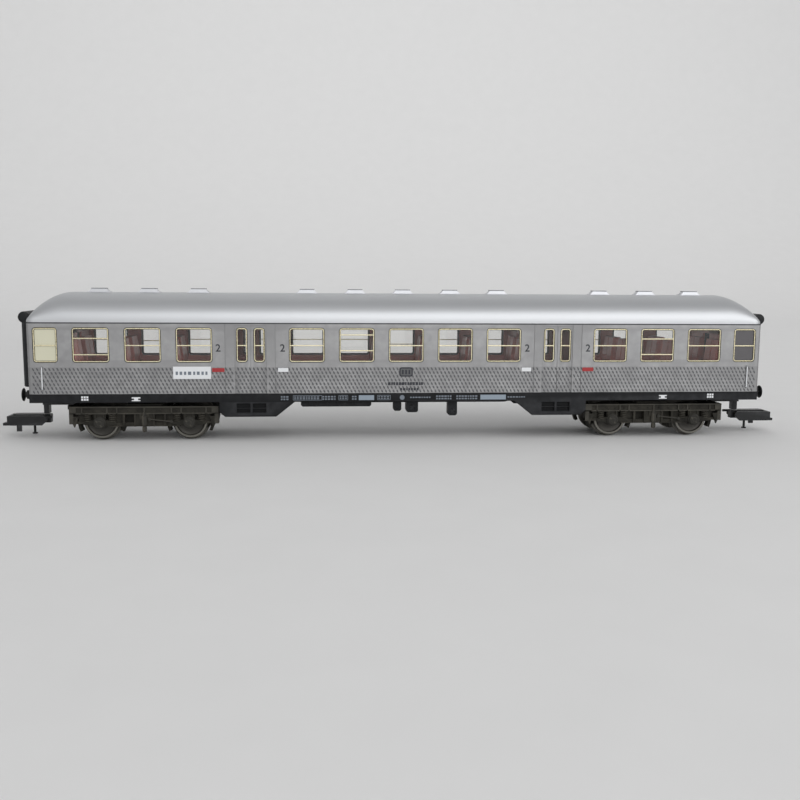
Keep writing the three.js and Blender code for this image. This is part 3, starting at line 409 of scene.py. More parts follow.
# %% Glass
def glass(name, tint, rough, clear=True):
    material, tree, shader, place = begin_material(name)
    fine = use_group(tree, grain_group, {"Vector": place, "Scale": 240.0, "Variation": 0.03})
    tone = add(tree, "ShaderNodeCombineColor", {i: fine["Tone"] for i in range(3)})
    shown = mix_colour(tree, 1.0, tint, tone.outputs[0], "MULTIPLY")
    tree.links.new(shown, shader.inputs["Base Color"])
    shader.inputs["Roughness"].default_value = rough
    shader.inputs["IOR"].default_value = 1.46
    if clear:
        shader.inputs["Transmission Weight"].default_value = 1.0
        path = add(tree, "ShaderNodeLightPath").outputs["Is Shadow Ray"]
        open_way = add(tree, "ShaderNodeBsdfTransparent", {"Color": tint})
        mix = add(tree, "ShaderNodeMixShader", {0: path, 1: shader.outputs[0]})
        tree.links.new(open_way.outputs[0], mix.inputs[2])
        output = next(n for n in tree.nodes if n.type == "OUTPUT_MATERIAL")
        tree.links.new(mix.outputs[0], output.inputs["Surface"])
    return material


clear_pane = glass("clear pane", (0.96, 0.96, 0.95, 1.0), 0.02)
frosted_pane = glass("frosted cream pane", linear(206, 204, 182), 0.3, clear=False)
# The vestibule pane is opaque dark grey: painted shade of the dark vestibule behind it.
vestibule_shade_pane = glass("smoked pane", linear(92, 90, 92), 0.12, clear=False)
print(len(bpy.data.materials), "materials")

# %% [markdown]
# ## Shapes from a few moulds
# Most pieces are joined from four simple makers: a block, a flat plate cut to an outline, a
# turned shape and a bent wire. They add to one bmesh, so a whole bogie frame becomes one piece.
# A Bevel modifier then rounds every hard edge, because no real moulding has a knife edge and
# the thin highlight along it is what makes a small part look solid.

# %% Mesh makers
def block(bm, x0, x1, y0, y1, z0, z1):
    """A box between two values on each axis, given in any order."""
    xs, ys, zs = sorted((x0, x1)), sorted((y0, y1)), sorted((z0, z1))
    at = [[[bm.verts.new((x, y, z)) for z in zs] for y in ys] for x in xs]
    for loop in (
        (at[0][0][0], at[0][1][0], at[1][1][0], at[1][0][0]),
        (at[0][0][1], at[1][0][1], at[1][1][1], at[0][1][1]),
        (at[0][0][0], at[1][0][0], at[1][0][1], at[0][0][1]),
        (at[0][1][0], at[0][1][1], at[1][1][1], at[1][1][0]),
        (at[0][0][0], at[0][0][1], at[0][1][1], at[0][1][0]),
        (at[1][0][0], at[1][1][0], at[1][1][1], at[1][0][1]),
    ):
        bm.faces.new(loop)


def plate(bm, outline, low, high, axes="xzy"):
    """An outline in the first two axes, thickened from low to high along the third."""
    order = [axes.index(axis) for axis in "xyz"]
    rings = []
    for level in (low, high):
        points = [(a, b, level) for a, b in outline]
        rings.append([bm.verts.new([point[i] for i in order]) for point in points])
    made = [bm.faces.new(rings[0]), bm.faces.new(rings[1])]
    count = len(outline)
    for i in range(count):
        j = (i + 1) % count
        made.append(bm.faces.new((rings[0][i], rings[0][j], rings[1][j], rings[1][i])))
    bmesh.ops.recalc_face_normals(bm, faces=made)


AXIS_TURN = {
    "x": Matrix(((0, 0, 1), (1, 0, 0), (0, 1, 0))),
    "y": Matrix(((0, 1, 0), (0, 0, 1), (1, 0, 0))),
    "z": Matrix.Identity(3),
}


def lathe(bm, profile, centre, axis="z", steps=32):
    """[radius, along] points turned about an axis; a radius of 0 closes the shape."""
    turn = AXIS_TURN[axis]
    middle = Vector(centre)
    rings = []
    for radius, along in profile:
        count = 1 if radius == 0 else steps
        ring = []
        for i in range(count):
            angle = 2 * math.pi * i / steps
            point = Vector((radius * math.cos(angle), radius * math.sin(angle), along))
            ring.append(bm.verts.new(middle + turn @ point))
        rings.append(ring)
    made = []
    for one, two in zip(rings, rings[1:]):
        for i in range(steps):
            j = (i + 1) % steps
            if len(one) == 1:
                made.append(bm.faces.new((one[0], two[i], two[j])))
            elif len(two) == 1:
                made.append(bm.faces.new((one[i], one[j], two[0])))
            else:
                made.append(bm.faces.new((one[i], one[j], two[j], two[i])))
    bmesh.ops.recalc_face_normals(bm, faces=made)


def rod(bm, start, end, radius, axis, centre, steps=16):
    """A plain round bar along an axis."""
    profile = [(0, start), (radius, start), (radius, end), (0, end)]
    lathe(bm, profile, centre, axis, steps)


def wire(bm, points, radius, sides=8):
    """A round wire through points, with flat ends."""
    path = [Vector(point) for point in points]
    normal = (path[1] - path[0]).orthogonal().normalized()
    rings = []
    for i, point in enumerate(path):
        ahead = (path[min(i + 1, len(path) - 1)] - path[max(i - 1, 0)]).normalized()
        normal = (normal - ahead * normal.dot(ahead)).normalized()
        across = ahead.cross(normal)
        turns = [2 * math.pi * k / sides for k in range(sides)]
        spokes = [normal * math.cos(a) + across * math.sin(a) for a in turns]
        rings.append([bm.verts.new(point + spoke * radius) for spoke in spokes])
    made = [bm.faces.new(rings[0]), bm.faces.new(rings[-1])]
    for one, two in zip(rings, rings[1:]):
        for k in range(sides):
            n = (k + 1) % sides
            made.append(bm.faces.new((one[k], one[n], two[n], two[k])))
    bmesh.ops.recalc_face_normals(bm, faces=made)


def round_corners(points, radius, steps=5):
    """The path with each inner corner replaced by an arc."""
    path = [Vector(point) for point in points]
    made = [path[0]]
    for before, corner, after in zip(path, path[1:], path[2:]):
        start = corner + (before - corner).normalized() * radius
        end = corner + (after - corner).normalized() * radius
        for k in range(steps + 1):
            t = k / steps
            made.append(start * (1 - t) ** 2 + corner * 2 * t * (1 - t) + end * t**2)
    made.append(path[-1])
    return made


def rounded_outline(x, z, width, height, radius, steps=6):
    """A rectangle with round corners, as outline points."""
    points = []
    for quarter, (sx, sz) in enumerate(((1, 1), (-1, 1), (-1, -1), (1, -1))):
        cx, cz = x + sx * (width / 2 - radius), z + sz * (height / 2 - radius)
        for k in range(steps + 1):
            angle = math.pi / 2 * (quarter + k / steps)
            points.append((cx + radius * math.cos(angle), cz + radius * math.sin(angle)))
    return points


print("makers ready")

# %% Finishing helpers
def new_piece(name, bm, material):
    mesh = bpy.data.meshes.new(name)
    bm.to_mesh(mesh)
    bm.free()
    piece = bpy.data.objects.new(name, mesh)
    bpy.context.scene.collection.objects.link(piece)
    piece.data.materials.append(material)
    return piece


def settle(piece):
    """Turns what the modifiers make into the piece's own plain mesh."""
    seen = piece.evaluated_get(bpy.context.evaluated_depsgraph_get())
    mesh = bpy.data.meshes.new_from_object(seen)
    piece.modifiers.clear()
    piece.data = mesh
    return piece


def soften(piece, width, segments=2, angle=35):
    """Rounds the hard edges and shades the rest smooth."""
    if width:
        bevel = piece.modifiers.new("rounding", "BEVEL")
        bevel.width = width
        bevel.segments = segments
        bevel.limit_method = "ANGLE"
        bevel.angle_limit = math.radians(angle)
        settle(piece)
    piece.data.polygons.foreach_set("use_smooth", [True] * len(piece.data.polygons))
    piece.data.set_sharp_from_angle(angle=math.radians(angle))
    if width:
        flatten = piece.modifiers.new("flat faces", "WEIGHTED_NORMAL")
        flatten.keep_sharp = True
        settle(piece)
    return piece


def deliver(piece, body, slot, *replaced):
    """Scales the piece to metres, and says what it rides on and stands for."""
    piece.data.transform(Matrix.Scale(MM, 4))
    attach(piece, body)
    if replaced:
        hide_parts(*replaced)
    print(f"{piece.name}: {len(piece.data.polygons)} faces on {body}")
    return piece


def refine(node, name, material, width, segments=2):
    """A frame node as a welded copy in millimetres, with its edges rounded."""
    bm = bmesh.new()
    bm.from_mesh(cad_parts[node].data)
    bmesh.ops.transform(bm, matrix=Matrix.Scale(1 / MM, 4), verts=bm.verts)
    bmesh.ops.remove_doubles(bm, verts=bm.verts, dist=0.002)
    bmesh.ops.dissolve_limit(bm, angle_limit=math.radians(1), verts=bm.verts, edges=bm.edges)
    return soften(new_piece(name, bm, material), width, segments)


def cut(piece, bm):
    """Takes the shapes in bm out of the piece."""
    cutter = new_piece("cutter", bm, piece.data.materials[0])
    boolean = piece.modifiers.new("cut", "BOOLEAN")
    boolean.operation = "DIFFERENCE"
    boolean.solver = "EXACT"
    boolean.object = cutter
    settle(piece)
    bpy.data.objects.remove(cutter)
    return piece


def end_turn(end):
    """The right end is drawn, and the left end is the same shape turned half round."""
    return Matrix.Rotation(math.pi if end == "left" else 0, 4, "Z")


ENDS = ("left", "right")
print("finishing helpers ready")

# %% [markdown]
# ## Where the windows are
# The windows set the rhythm of the whole side, so their places are worked out once and the
# shell, the panes, the frames and the bars all read the same list. There are three kinds: wide
# saloon windows, a small one at each end, and a slim one in each door leaf.

# %% Windows
WINDOW_PITCH = 16.05
DOOR = 50.05
LEAF_EDGE = 5.1
LEAF_HEADROOM = 0.75
DOOR_RECESS = 0.25
WINDOW_LOW = SILL + 9.98
WINDOW_HIGH = GUTTER - 1.51
WINDOW_MIDDLE = (WINDOW_LOW + WINDOW_HIGH) / 2
WINDOW_HEIGHT = WINDOW_HIGH - WINDOW_LOW
WINDOW_CORNER = 1.1
SALOON_WIDTH, END_WIDTH, LEAF_WIDTH = 11.55, 7.62, 3.72
WALL = 1.0

half_saloon = [WINDOW_PITCH * i for i in (1, 2)]
END_SALOON_WINDOW = DOOR + 17.8
half_saloon += [END_SALOON_WINDOW + WINDOW_PITCH * i for i in range(3)]
saloon_windows = sorted([0.0] + half_saloon + [-x for x in half_saloon])
end_windows = [-(END - 5.65), END - 5.65]
leaf_windows = [side * DOOR + offset for side in (-1, 1) for offset in (-2.75, 2.75)]
WINDOWS = (
    [(x, SALOON_WIDTH, 0.0) for x in saloon_windows]
    + [(x, END_WIDTH, 0.0) for x in end_windows]
    + [(x, LEAF_WIDTH, DOOR_RECESS) for x in leaf_windows]
)
print(len(WINDOWS), "windows a side")

# %% [markdown]
# ## The body shell
# The real shell is one moulding: two sides and two ends with round upright corners. It could be
# built panel by panel, but panels leave seams at the corners. Cutting a rounded block is closer
# to how the mould is made, and it keeps the corners whole. The cutters go in sets whose
# members don't touch each other, because the boolean is most reliable that way. Inside, the
# walls are the same red brown as the seats.

# %% Body shell
GROOVE = 0.22
PANEL_LINES = (DOOR - 7.85, DOOR, DOOR + 8.05)


def split_at_windows(shell):
    """Splits the flat sides through every window, so that no face has a hole inside it."""
    bm = bmesh.new()
    bm.from_mesh(shell.data)
    planes = [((x, 0, 0), (1, 0, 0)) for x, _, _ in WINDOWS]
    planes += [((0, 0, WINDOW_MIDDLE), (0, 0, 1)), ((0, 0, 0), (0, 1, 0))]
    bmesh.ops.remove_doubles(bm, verts=bm.verts, dist=0.01)
    bmesh.ops.dissolve_limit(bm, angle_limit=0.01, verts=bm.verts, edges=bm.edges)
    for point, normal in planes:
        everything = bm.verts[:] + bm.edges[:] + bm.faces[:]
        bmesh.ops.bisect_plane(bm, geom=everything, dist=0.01, plane_co=point, plane_no=normal)
    bmesh.ops.dissolve_degenerate(bm, edges=bm.edges, dist=0.01)
    bm.to_mesh(shell.data)
    bm.free()


def make_shell():
    bm = bmesh.new()
    plate(bm, rounded_outline(0, 0, 2 * END, 2 * SIDE, 1.0, 10), SILL, GUTTER, "xyz")
    shell = new_piece("body_sides", bm, silver_side)

    hollow = bmesh.new()
    block(hollow, -END + WALL, END - WALL, -SIDE + WALL, SIDE - WALL, SILL - 1, GUTTER + 1)
    cut(shell, hollow)

    recesses = bmesh.new()
    for door in (-DOOR, DOOR):
        for side in (-1, 1):
            y0, y1 = side * (SIDE - DOOR_RECESS), side * (SIDE + 1)
            x0, x1 = door - LEAF_EDGE, door + LEAF_EDGE
            block(recesses, x0, x1, y0, y1, SILL - 1, WINDOW_HIGH + LEAF_HEADROOM)
    cut(shell, recesses)

    holes = bmesh.new()
    for x, width, _ in WINDOWS:
        shape = rounded_outline(x, WINDOW_MIDDLE, width, WINDOW_HEIGHT, WINDOW_CORNER)
        plate(holes, shape, -SIDE - 1, SIDE + 1)
    for side in (-1, 1):
        for middle in (-1, 1):
            for line in PANEL_LINES:
                inner = SIDE - DOOR_RECESS - 0.18 if line == DOOR else SIDE - 0.14
                x = middle * line
                top = WINDOW_HIGH + LEAF_HEADROOM if line == DOOR else GUTTER - 0.4
                span = (x - GROOVE / 2, x + GROOVE / 2)
                block(holes, *span, side * inner, side * (SIDE + 1), SILL - 1, top)
    cut(shell, holes)

    doorways = bmesh.new()
    block(doorways, -END - 1, END + 1, -4.2, 4.2, SILL + 1.3, GUTTER - 2.2)
    cut(shell, doorways)
    split_at_windows(shell)
    shell.data.materials.append(seat_brown)
    for face in shell.data.polygons:
        inward = -face.normal.y * face.center.y
        if inward > 0 and abs(abs(face.center.y) - SIDE + WALL) < 0.02:
            face.material_index = 1
    return soften(shell, 0, angle=30)


shell = deliver(make_shell(), "coach", "silver_side", "body_shell")

# %% [markdown]
# ## Geometry Nodes for what repeats
# A geometry tree takes the places as bare points and sets one shape on each of them. The tree
# has named inputs for its sizes, and it ends by making the copies real and giving them their
# material. The helper below puts the points in a throwaway mesh, runs the tree, keeps the
# resulting plain mesh and drops the modifier.

# %% Geometry tree helpers
def geometry_tree(name, sizes):
    tree = bpy.data.node_groups.new(name, "GeometryNodeTree")
    make = tree.interface.new_socket
    make("Points", in_out="INPUT", socket_type="NodeSocketGeometry")
    for label, value in sizes.items():
        whole = isinstance(value, int)
        kind = "NodeSocketInt" if whole else "NodeSocketFloat"
        make(label, in_out="INPUT", socket_type=kind).default_value = value
    make("Material", in_out="INPUT", socket_type="NodeSocketMaterial")
    make("Copies", in_out="OUTPUT", socket_type="NodeSocketGeometry")
    return tree, add(tree, "NodeGroupInput").outputs


def close_tree(tree, given, copies):
    real = add(tree, "GeometryNodeRealizeInstances", {"Geometry": copies})
    painted = add(
        tree,
        "GeometryNodeSetMaterial",
        {"Geometry": real.outputs[0], "Material": given["Material"]},
    )
    add(tree, "NodeGroupOutput", {"Copies": painted.outputs[0]})
    return tree


def vector(tree, x=0.0, y=0.0, z=0.0):
    return add(tree, "ShaderNodeCombineXYZ", {0: x, 1: y, 2: z}).outputs[0]


def grow(name, tree, material, points=((0, 0, 0),), **sizes):
    """Runs a geometry tree on points and returns the plain piece that it makes."""
    mesh = bpy.data.meshes.new(name)
    mesh.from_pydata([tuple(point) for point in points], [], [])
    piece = bpy.data.objects.new(name, mesh)
    bpy.context.scene.collection.objects.link(piece)
    modifier = piece.modifiers.new("copies", "NODES")
    modifier.node_group = tree
    sockets = {
        item.name: item.identifier
        for item in tree.interface.items_tree
        if item.item_type == "SOCKET" and item.in_out == "INPUT"
    }
    for label, value in sizes.items():
        modifier[sockets[label.replace("_", " ")]] = value
    modifier[sockets["Material"]] = material
    settle(piece)
    piece.data.materials.clear()
    piece.data.materials.append(material)
    piece.data.polygons.foreach_set("material_index", [0] * len(piece.data.polygons))
    return piece


print("geometry tree helpers ready")

# %% [markdown]
# ## The stamped pattern
# Below the windows the metal of the full-size coach was stamped so that it sparkles, and the
# model shows this as rows of short leaning strokes, each row half a pitch out of step with the
# next. A grid gives the places. The odd rows are shifted, strokes on a door leaf sink with the
# leaf, and strokes that would sit across the leaf's edge are left out. Each stroke is a low
# six-sided blister, because nearly three thousand copies have to stay light.

# %% Stamped pattern
STROKE = {
    "Columns": 189, "Rows": 7, "Pitch": 1.25, "Row Pitch": 1.2, "Length": 1.24, "Width": 0.54,
    "Height": 0.13, "Lean": math.radians(27), "Side": 1.0, "Door": DOOR, "Leaf Edge": LEAF_EDGE,
    "Recess": DOOR_RECESS, "Out": SIDE, "Middle": (SILL + PATTERN_TOP) / 2,
}


def build_stroke_tree():
    tree, given = geometry_tree("Stamped strokes", STROKE)
    length = math_node(
        tree, "MULTIPLY", math_node(tree, "SUBTRACT", given["Columns"], 1.0), given["Pitch"]
    )
    height = math_node(
        tree, "MULTIPLY", math_node(tree, "SUBTRACT", given["Rows"], 1.0), given["Row Pitch"]
    )
    grid = add(
        tree,
        "GeometryNodeMeshGrid",
        {
            "Size X": length, "Size Y": height,
            "Vertices X": given["Columns"], "Vertices Y": given["Rows"],
        },
    )
    index = add(tree, "GeometryNodeInputIndex").outputs[0]
    odd = math_node(tree, "MODULO", math_node(tree, "MODULO", index, given["Rows"]), 2.0)
    shift = math_node(tree, "MULTIPLY", math_node(tree, "SUBTRACT", odd, 0.5), given["Pitch"])
    shift = math_node(tree, "MULTIPLY", shift, 0.5)
    moved = add(
        tree,
        "GeometryNodeSetPosition",
        {"Geometry": grid.outputs[0], "Offset": vector(tree, shift)},
    )
    place = add(tree, "GeometryNodeInputPosition").outputs[0]
    x = add(tree, "ShaderNodeSeparateXYZ", {0: place}).outputs["X"]
    from_door = math_node(tree, "SUBTRACT", math_node(tree, "ABSOLUTE", x), given["Door"])
    from_door = math_node(tree, "ABSOLUTE", from_door)
    on_leaf = math_node(tree, "LESS_THAN", from_door, given["Leaf Edge"])
    sink = math_node(tree, "MULTIPLY", math_node(tree, "MULTIPLY", on_leaf, given["Recess"]), -1.0)
    sunk = add(
        tree,
        "GeometryNodeSetPosition",
        {"Geometry": moved.outputs[0], "Offset": vector(tree, z=sink)},
    )
    from_edge = math_node(tree, "SUBTRACT", from_door, given["Leaf Edge"])
    crossing = math_node(tree, "LESS_THAN", math_node(tree, "ABSOLUTE", from_edge), 0.3)
    kept = add(
        tree,
        "GeometryNodeDeleteGeometry",
        {"Geometry": sunk.outputs[0], "Selection": crossing},
        domain="POINT",
    )
    blister = add(tree, "GeometryNodeMeshUVSphere", {"Segments": 6, "Rings": 4, "Radius": 1.0})
    half_width = math_node(tree, "MULTIPLY", given["Width"], 0.5)
    half_length = math_node(tree, "MULTIPLY", given["Length"], 0.5)
    size = vector(tree, half_width, half_length, given["Height"])
    stroke = add(
        tree, "GeometryNodeTransform", {"Geometry": blister.outputs[0], "Scale": size}
    )
    copies = add(
        tree,
        "GeometryNodeInstanceOnPoints",
        {
            "Points": kept.outputs[0],
            "Instance": stroke.outputs[0],
            "Rotation": vector(tree, z=given["Lean"]),
        },
    )
    upright = add(
        tree,
        "GeometryNodeTransform",
        {
            "Geometry": copies.outputs[0],
            "Rotation": (math.pi / 2, 0, 0),
            "Translation": vector(
                tree, y=math_node(tree, "MULTIPLY", given["Out"], -1.0), z=given["Middle"]
            ),
        },
    )
    half_turn = math_node(tree, "MULTIPLY", given["Side"], math.pi)
    turned = add(
        tree,
        "GeometryNodeTransform",
        {"Geometry": upright.outputs[0], "Rotation": vector(tree, z=half_turn)},
    )
    return close_tree(tree, given, turned.outputs[0])


stroke_tree = build_stroke_tree()
for label, far in (("near", 0.0), ("far", 1.0)):
    strokes = soften(grow(f"stamped_pattern_{label}", stroke_tree, silver_stroke, Side=far), 0)
    deliver(strokes, "coach", "silver_side")

# %% [markdown]
# ## The roof
# The roof is one smooth shell: round across, and falling away in a soft dome at each end. Both
# curves are superellipses, a little squarer than a circle, so every point comes from a formula
# and no outline has to be stored. The open skin gets its wall from a Solidify modifier, which
# also closes the rim along the gutter.

# %% Roof
ROOF_RIM = 0.5
ROOF_FALL = 11.5
ROOF_REACH = corners("roof")[1].x
ROUND_ACROSS, ROUND_END = 2.2, 1.75
ROOF_CORNER = 2.6


def superellipse(share, power):
    return max(0.0, 1 - abs(share) ** power) ** (1 / power)


def roof_stations(steps=26):
    dome = [math.sin(math.pi / 2 * i / steps) for i in range(steps + 1)]
    right = [(ROOF_REACH - ROOF_FALL + ROOF_FALL * s, superellipse(s, ROUND_END)) for s in dome]
    straight = [(x, 1.0) for x in (-48, 0, 48)]
    return [(-x, level) for x, level in reversed(right)] + straight + right


def roof_half_width(x):
    past = max(0.0, abs(x) - (ROOF_REACH - ROOF_CORNER))
    return SIDE - ROOF_CORNER + math.sqrt(max(0.0, ROOF_CORNER**2 - past**2))


def make_roof(steps=44):
    bm = bmesh.new()
    rows = []
    stations = roof_stations()
    stations = [(stations[0][0], None)] + stations + [(stations[-1][0], None)]
    shares = [-math.cos(math.pi * i / steps) for i in range(steps + 1)]
    for x, level in stations:
        half = roof_half_width(x)
        top = CROWN - GUTTER - ROOF_RIM
        skin = [
            (y * half, GUTTER if level is None
             else GUTTER + ROOF_RIM + top * level * superellipse(y, ROUND_ACROSS))
            for y in shares
        ]
        line = [(-half, GUTTER)] + skin + [(half, GUTTER)]
        rows.append([bm.verts.new((x, y, z)) for y, z in line])
    for one, two in zip(rows, rows[1:]):
        for i in range(len(one) - 1):
            bm.faces.new((one[i], two[i], two[i + 1], one[i + 1]))
    bmesh.ops.remove_doubles(bm, verts=bm.verts, dist=0.001)
    bmesh.ops.dissolve_degenerate(bm, edges=bm.edges, dist=0.0005)
    bmesh.ops.recalc_face_normals(bm, faces=bm.faces)
    if sum(face.normal.z * face.calc_area() for face in bm.faces) < 0:
        bmesh.ops.reverse_faces(bm, faces=bm.faces)
    roof = new_piece("roof_skin", bm, silver_roof)
    wall = roof.modifiers.new("wall", "SOLIDIFY")
    wall.thickness = 1.2
    wall.offset = -1
    settle(roof)
    return soften(roof, 0, angle=50)


roof = deliver(make_roof(), "coach", "silver_roof", "roof")

# %% [markdown]
# Where the roof moulding meets the side there is a thin recessed strip all round, and the shade
# in it shows as a dark line. Here it is a real strip, a hair proud of the side, painted dark as
# that shadow, so that it stays dark from every angle and closes the saloon from above like a
# ceiling.

# %% Gutter shadow strip
def make_gutter_shadow():
    bm = bmesh.new()
    shape = rounded_outline(0, 0, 2 * (END + 0.03), 2 * (SIDE + 0.03), 1.03, 10)
    plate(bm, shape, GUTTER - 0.34, GUTTER + 0.05, "xyz")
    return soften(new_piece("gutter_shadow_strip", bm, gutter_shadow_paint), 0.03)


seam_shadow = deliver(make_gutter_shadow(), "coach", "silver_roof")

# %% [markdown]
# ## Roof ventilators
# Eleven low hoods stand along the crown. A four-sided cone is already a hood with sloping
# faces, so the geometry tree starts from that and adds the thin lid that gives each hood its
# dark upper line, and a flange around its foot.

# %% Roof ventilators
VENTS = [f"roof_vent_{i}" for i in range(1, 12)]
vent_low, vent_high = corners(VENTS[0])
HOOD = {
    "Length": vent_high.x - vent_low.x, "Width": vent_high.y - vent_low.y,
    "Height": vent_high.z - vent_low.z, "Top Share": 0.7, "Lid": 0.2, "Flange": 0.16,
}


def build_hood_tree():
    tree, given = geometry_tree("Ventilator hood", HOOD)
    corner = math.sqrt(0.5)
    cone = add(
        tree,
        "GeometryNodeMeshCone",
        {"Vertices": 4, "Radius Top": given["Top Share"], "Radius Bottom": 1.0, "Depth": 1.0},
    )
    square = add(
        tree, "GeometryNodeTransform",
        {"Geometry": cone.outputs[0], "Rotation": (0, 0, math.pi / 4)},
    )
    # The cone stops halfway up the lid, so that no two top faces lie in one plane.
    lid_level = math_node(tree, "MULTIPLY_ADD", given["Lid"], -0.5, given["Height"])
    stretch = vector(
        tree,
        math_node(tree, "MULTIPLY", given["Length"], corner),
        math_node(tree, "MULTIPLY", given["Width"], corner),
        lid_level,
    )
    hood = add(
        tree, "GeometryNodeTransform", {"Geometry": square.outputs[0], "Scale": stretch}
    )
    lid_size = vector(
        tree,
        math_node(tree, "MULTIPLY_ADD", given["Length"], given["Top Share"], 0.3),
        math_node(tree, "MULTIPLY_ADD", given["Width"], given["Top Share"], 0.3),
        given["Lid"],
    )
    lid = add(tree, "GeometryNodeMeshCube", {"Size": lid_size})
    lid_place = vector(tree, z=lid_level)
    lifted = add(
        tree, "GeometryNodeTransform", {"Geometry": lid.outputs[0], "Translation": lid_place}
    )
    foot_size = vector(
        tree,
        math_node(tree, "ADD", given["Length"], 0.5),
        math_node(tree, "ADD", given["Width"], 0.5),
        math_node(tree, "MULTIPLY", given["Flange"], 2.0),
    )
    foot = add(tree, "GeometryNodeMeshCube", {"Size": foot_size})
    whole = add(tree, "GeometryNodeJoinGeometry")
    for part in (hood, lifted, foot):
        tree.links.new(part.outputs[0], whole.inputs[0])
    copies = add(
        tree,
        "GeometryNodeInstanceOnPoints",
        {"Points": given["Points"], "Instance": whole.outputs[0]},
    )
    return close_tree(tree, given, copies.outputs[0])


vent_places = [(sum(corners(v)[i].x for i in (0, 1)) / 2, 0, vent_low.z) for v in VENTS]
hoods = soften(grow("ventilator_hoods", build_hood_tree(), hood_silver, vent_places), 0.03)
hoods.data.materials.append(hood_line)
for face in hoods.data.polygons:
    if face.center.z > vent_high.z - HOOD["Lid"] - 0.01 and abs(face.normal.z) < 0.9:
        face.material_index = len(hoods.data.materials) - 1
deliver(hoods, "coach", "silver_roof", *VENTS)

# %% [markdown]
# ## Window frames and sash bars
# Every window is edged by a narrow foiled frame that sits just inside its opening, with a dark
# ring around it that is painted shadow of the gap between frame and opening. One tree bends a
# flat bar round a filleted rectangle, and it runs once for each window size, and once more for
# the black ring of painted shadow behind. A second tree sets plain slats, and makes the sash bars
# and the step treads.

# %% Window frames
FRAME = {
    "Width": SALOON_WIDTH, "Height": WINDOW_HEIGHT, "Corner": WINDOW_CORNER, "Gap": 0.22,
    "Face": 0.3, "Depth": 0.34,
}


def build_frame_tree():
    tree, given = geometry_tree("Window frame", FRAME)
    inset = math_node(tree, "MULTIPLY_ADD", given["Face"], 0.5, given["Gap"])
    loss = math_node(tree, "MULTIPLY", inset, 2.0)
    rectangle = add(
        tree,
        "GeometryNodeCurvePrimitiveQuadrilateral",
        {
            "Width": math_node(tree, "SUBTRACT", given["Width"], loss),
            "Height": math_node(tree, "SUBTRACT", given["Height"], loss),
        },
    )
    rounded = add(
        tree,
        "GeometryNodeFilletCurve",
        {
            "Curve": rectangle.outputs[0],
            "Radius": math_node(tree, "SUBTRACT", given["Corner"], inset),
            "Count": 6,
        },
        mode="POLY",
    )
    flat = add(tree, "GeometryNodeSetCurveNormal", {"Curve": rounded.outputs[0]}, mode="Z_UP")
    bar = add(
        tree,
        "GeometryNodeCurvePrimitiveQuadrilateral",
        {"Width": given["Face"], "Height": given["Depth"]},
    )
    ring = add(
        tree,
        "GeometryNodeCurveToMesh",
        {"Curve": flat.outputs[0], "Profile Curve": bar.outputs[0]},
    )
    upright = add(
        tree,
        "GeometryNodeTransform",
        {"Geometry": ring.outputs[0], "Rotation": (math.pi / 2, 0, 0)},
    )
    copies = add(
        tree,
        "GeometryNodeInstanceOnPoints",
        {"Points": given["Points"], "Instance": upright.outputs[0]},
    )
    return close_tree(tree, given, copies.outputs[0])


frame_tree = build_frame_tree()

# %% Slats
SLAT = {"Length": 1.0, "Height": 0.34, "Depth": 0.3}


def build_slat_tree():
    tree, given = geometry_tree("Slats", SLAT)
    size = vector(tree, given["Length"], given["Depth"], given["Height"])
    slat = add(tree, "GeometryNodeMeshCube", {"Size": size})
    copies = add(
        tree,
        "GeometryNodeInstanceOnPoints",
        {"Points": given["Points"], "Instance": slat.outputs[0]},
    )
    return close_tree(tree, given, copies.outputs[0])


slat_tree = build_slat_tree()


def merge(name, pieces):
    """Several pieces as one, each keeping its material."""
    with bpy.context.temp_override(
        active_object=pieces[0], selected_objects=pieces, selected_editable_objects=pieces
    ):
        bpy.ops.object.join()
    pieces[0].name = name
    return pieces[0]


# %% Frames and bars on both sides
FRAME_FACE = SIDE - 0.02
SHADOW_RING_FACE = FRAME["Gap"] + FRAME["Face"] + 0.12
SASH_BAR = SILL + 15.42
LOWERED = {1: (-2.9, 2.25), 5: (-1.65, 3.45), 10: (-2.9, 2.25)}
LOWERED_FAR = {2: (-0.5, 3.6), 6: (-1.65, 3.45)}


def sash_heights(index, side):
    lowered = LOWERED if side < 0 else LOWERED_FAR
    return [SASH_BAR + offset for offset in lowered.get(index, (0.0,))]


def make_frames(label, side):
    parts, shadow_rings = [], []
    for width, recess in ((SALOON_WIDTH, 0.0), (END_WIDTH, 0.0), (LEAF_WIDTH, DOOR_RECESS)):
        y = side * (FRAME_FACE - recess - FRAME["Depth"] / 2)
        centres = [x for x, own, _ in WINDOWS if own == width]
        corner = WINDOW_CORNER
        places = [(x, y, WINDOW_MIDDLE) for x in centres]
        parts.append(
            grow("frames", frame_tree, gilt_foil, places, Width=width, Corner=corner)
        )
        bars = []
        for index, x in enumerate(centres, 1):
            heights = sash_heights(index, side) if width == SALOON_WIDTH else [SASH_BAR]
            bars += [(x, y, z) for z in heights]
        length = width - 2 * FRAME["Gap"] - FRAME["Face"]
        parts.append(grow("bars", slat_tree, gilt_foil, bars, Length=length))
        # The black ring behind each frame is painted shadow of the gap between frame and opening.
        deeper = [(x, y + side * -0.14, z) for x, y, z in places]
        shadow_ring = {"Width": width, "Corner": corner, "Gap": 0.01, "Face": SHADOW_RING_FACE, "Depth": 0.12}
        shadow_rings.append(grow("shadow_rings", frame_tree, rubber_black, deeper, **shadow_ring))
    deliver(soften(merge(f"window_gap_shadows_{label}", shadow_rings), 0), "coach", "black_rubber")
    frames = soften(merge(f"window_frames_{label}", parts), 0.07)
    return deliver(frames, "coach", "gilt_frame")


for label, side in (("near", -1), ("far", 1)):
    make_frames(label, side)
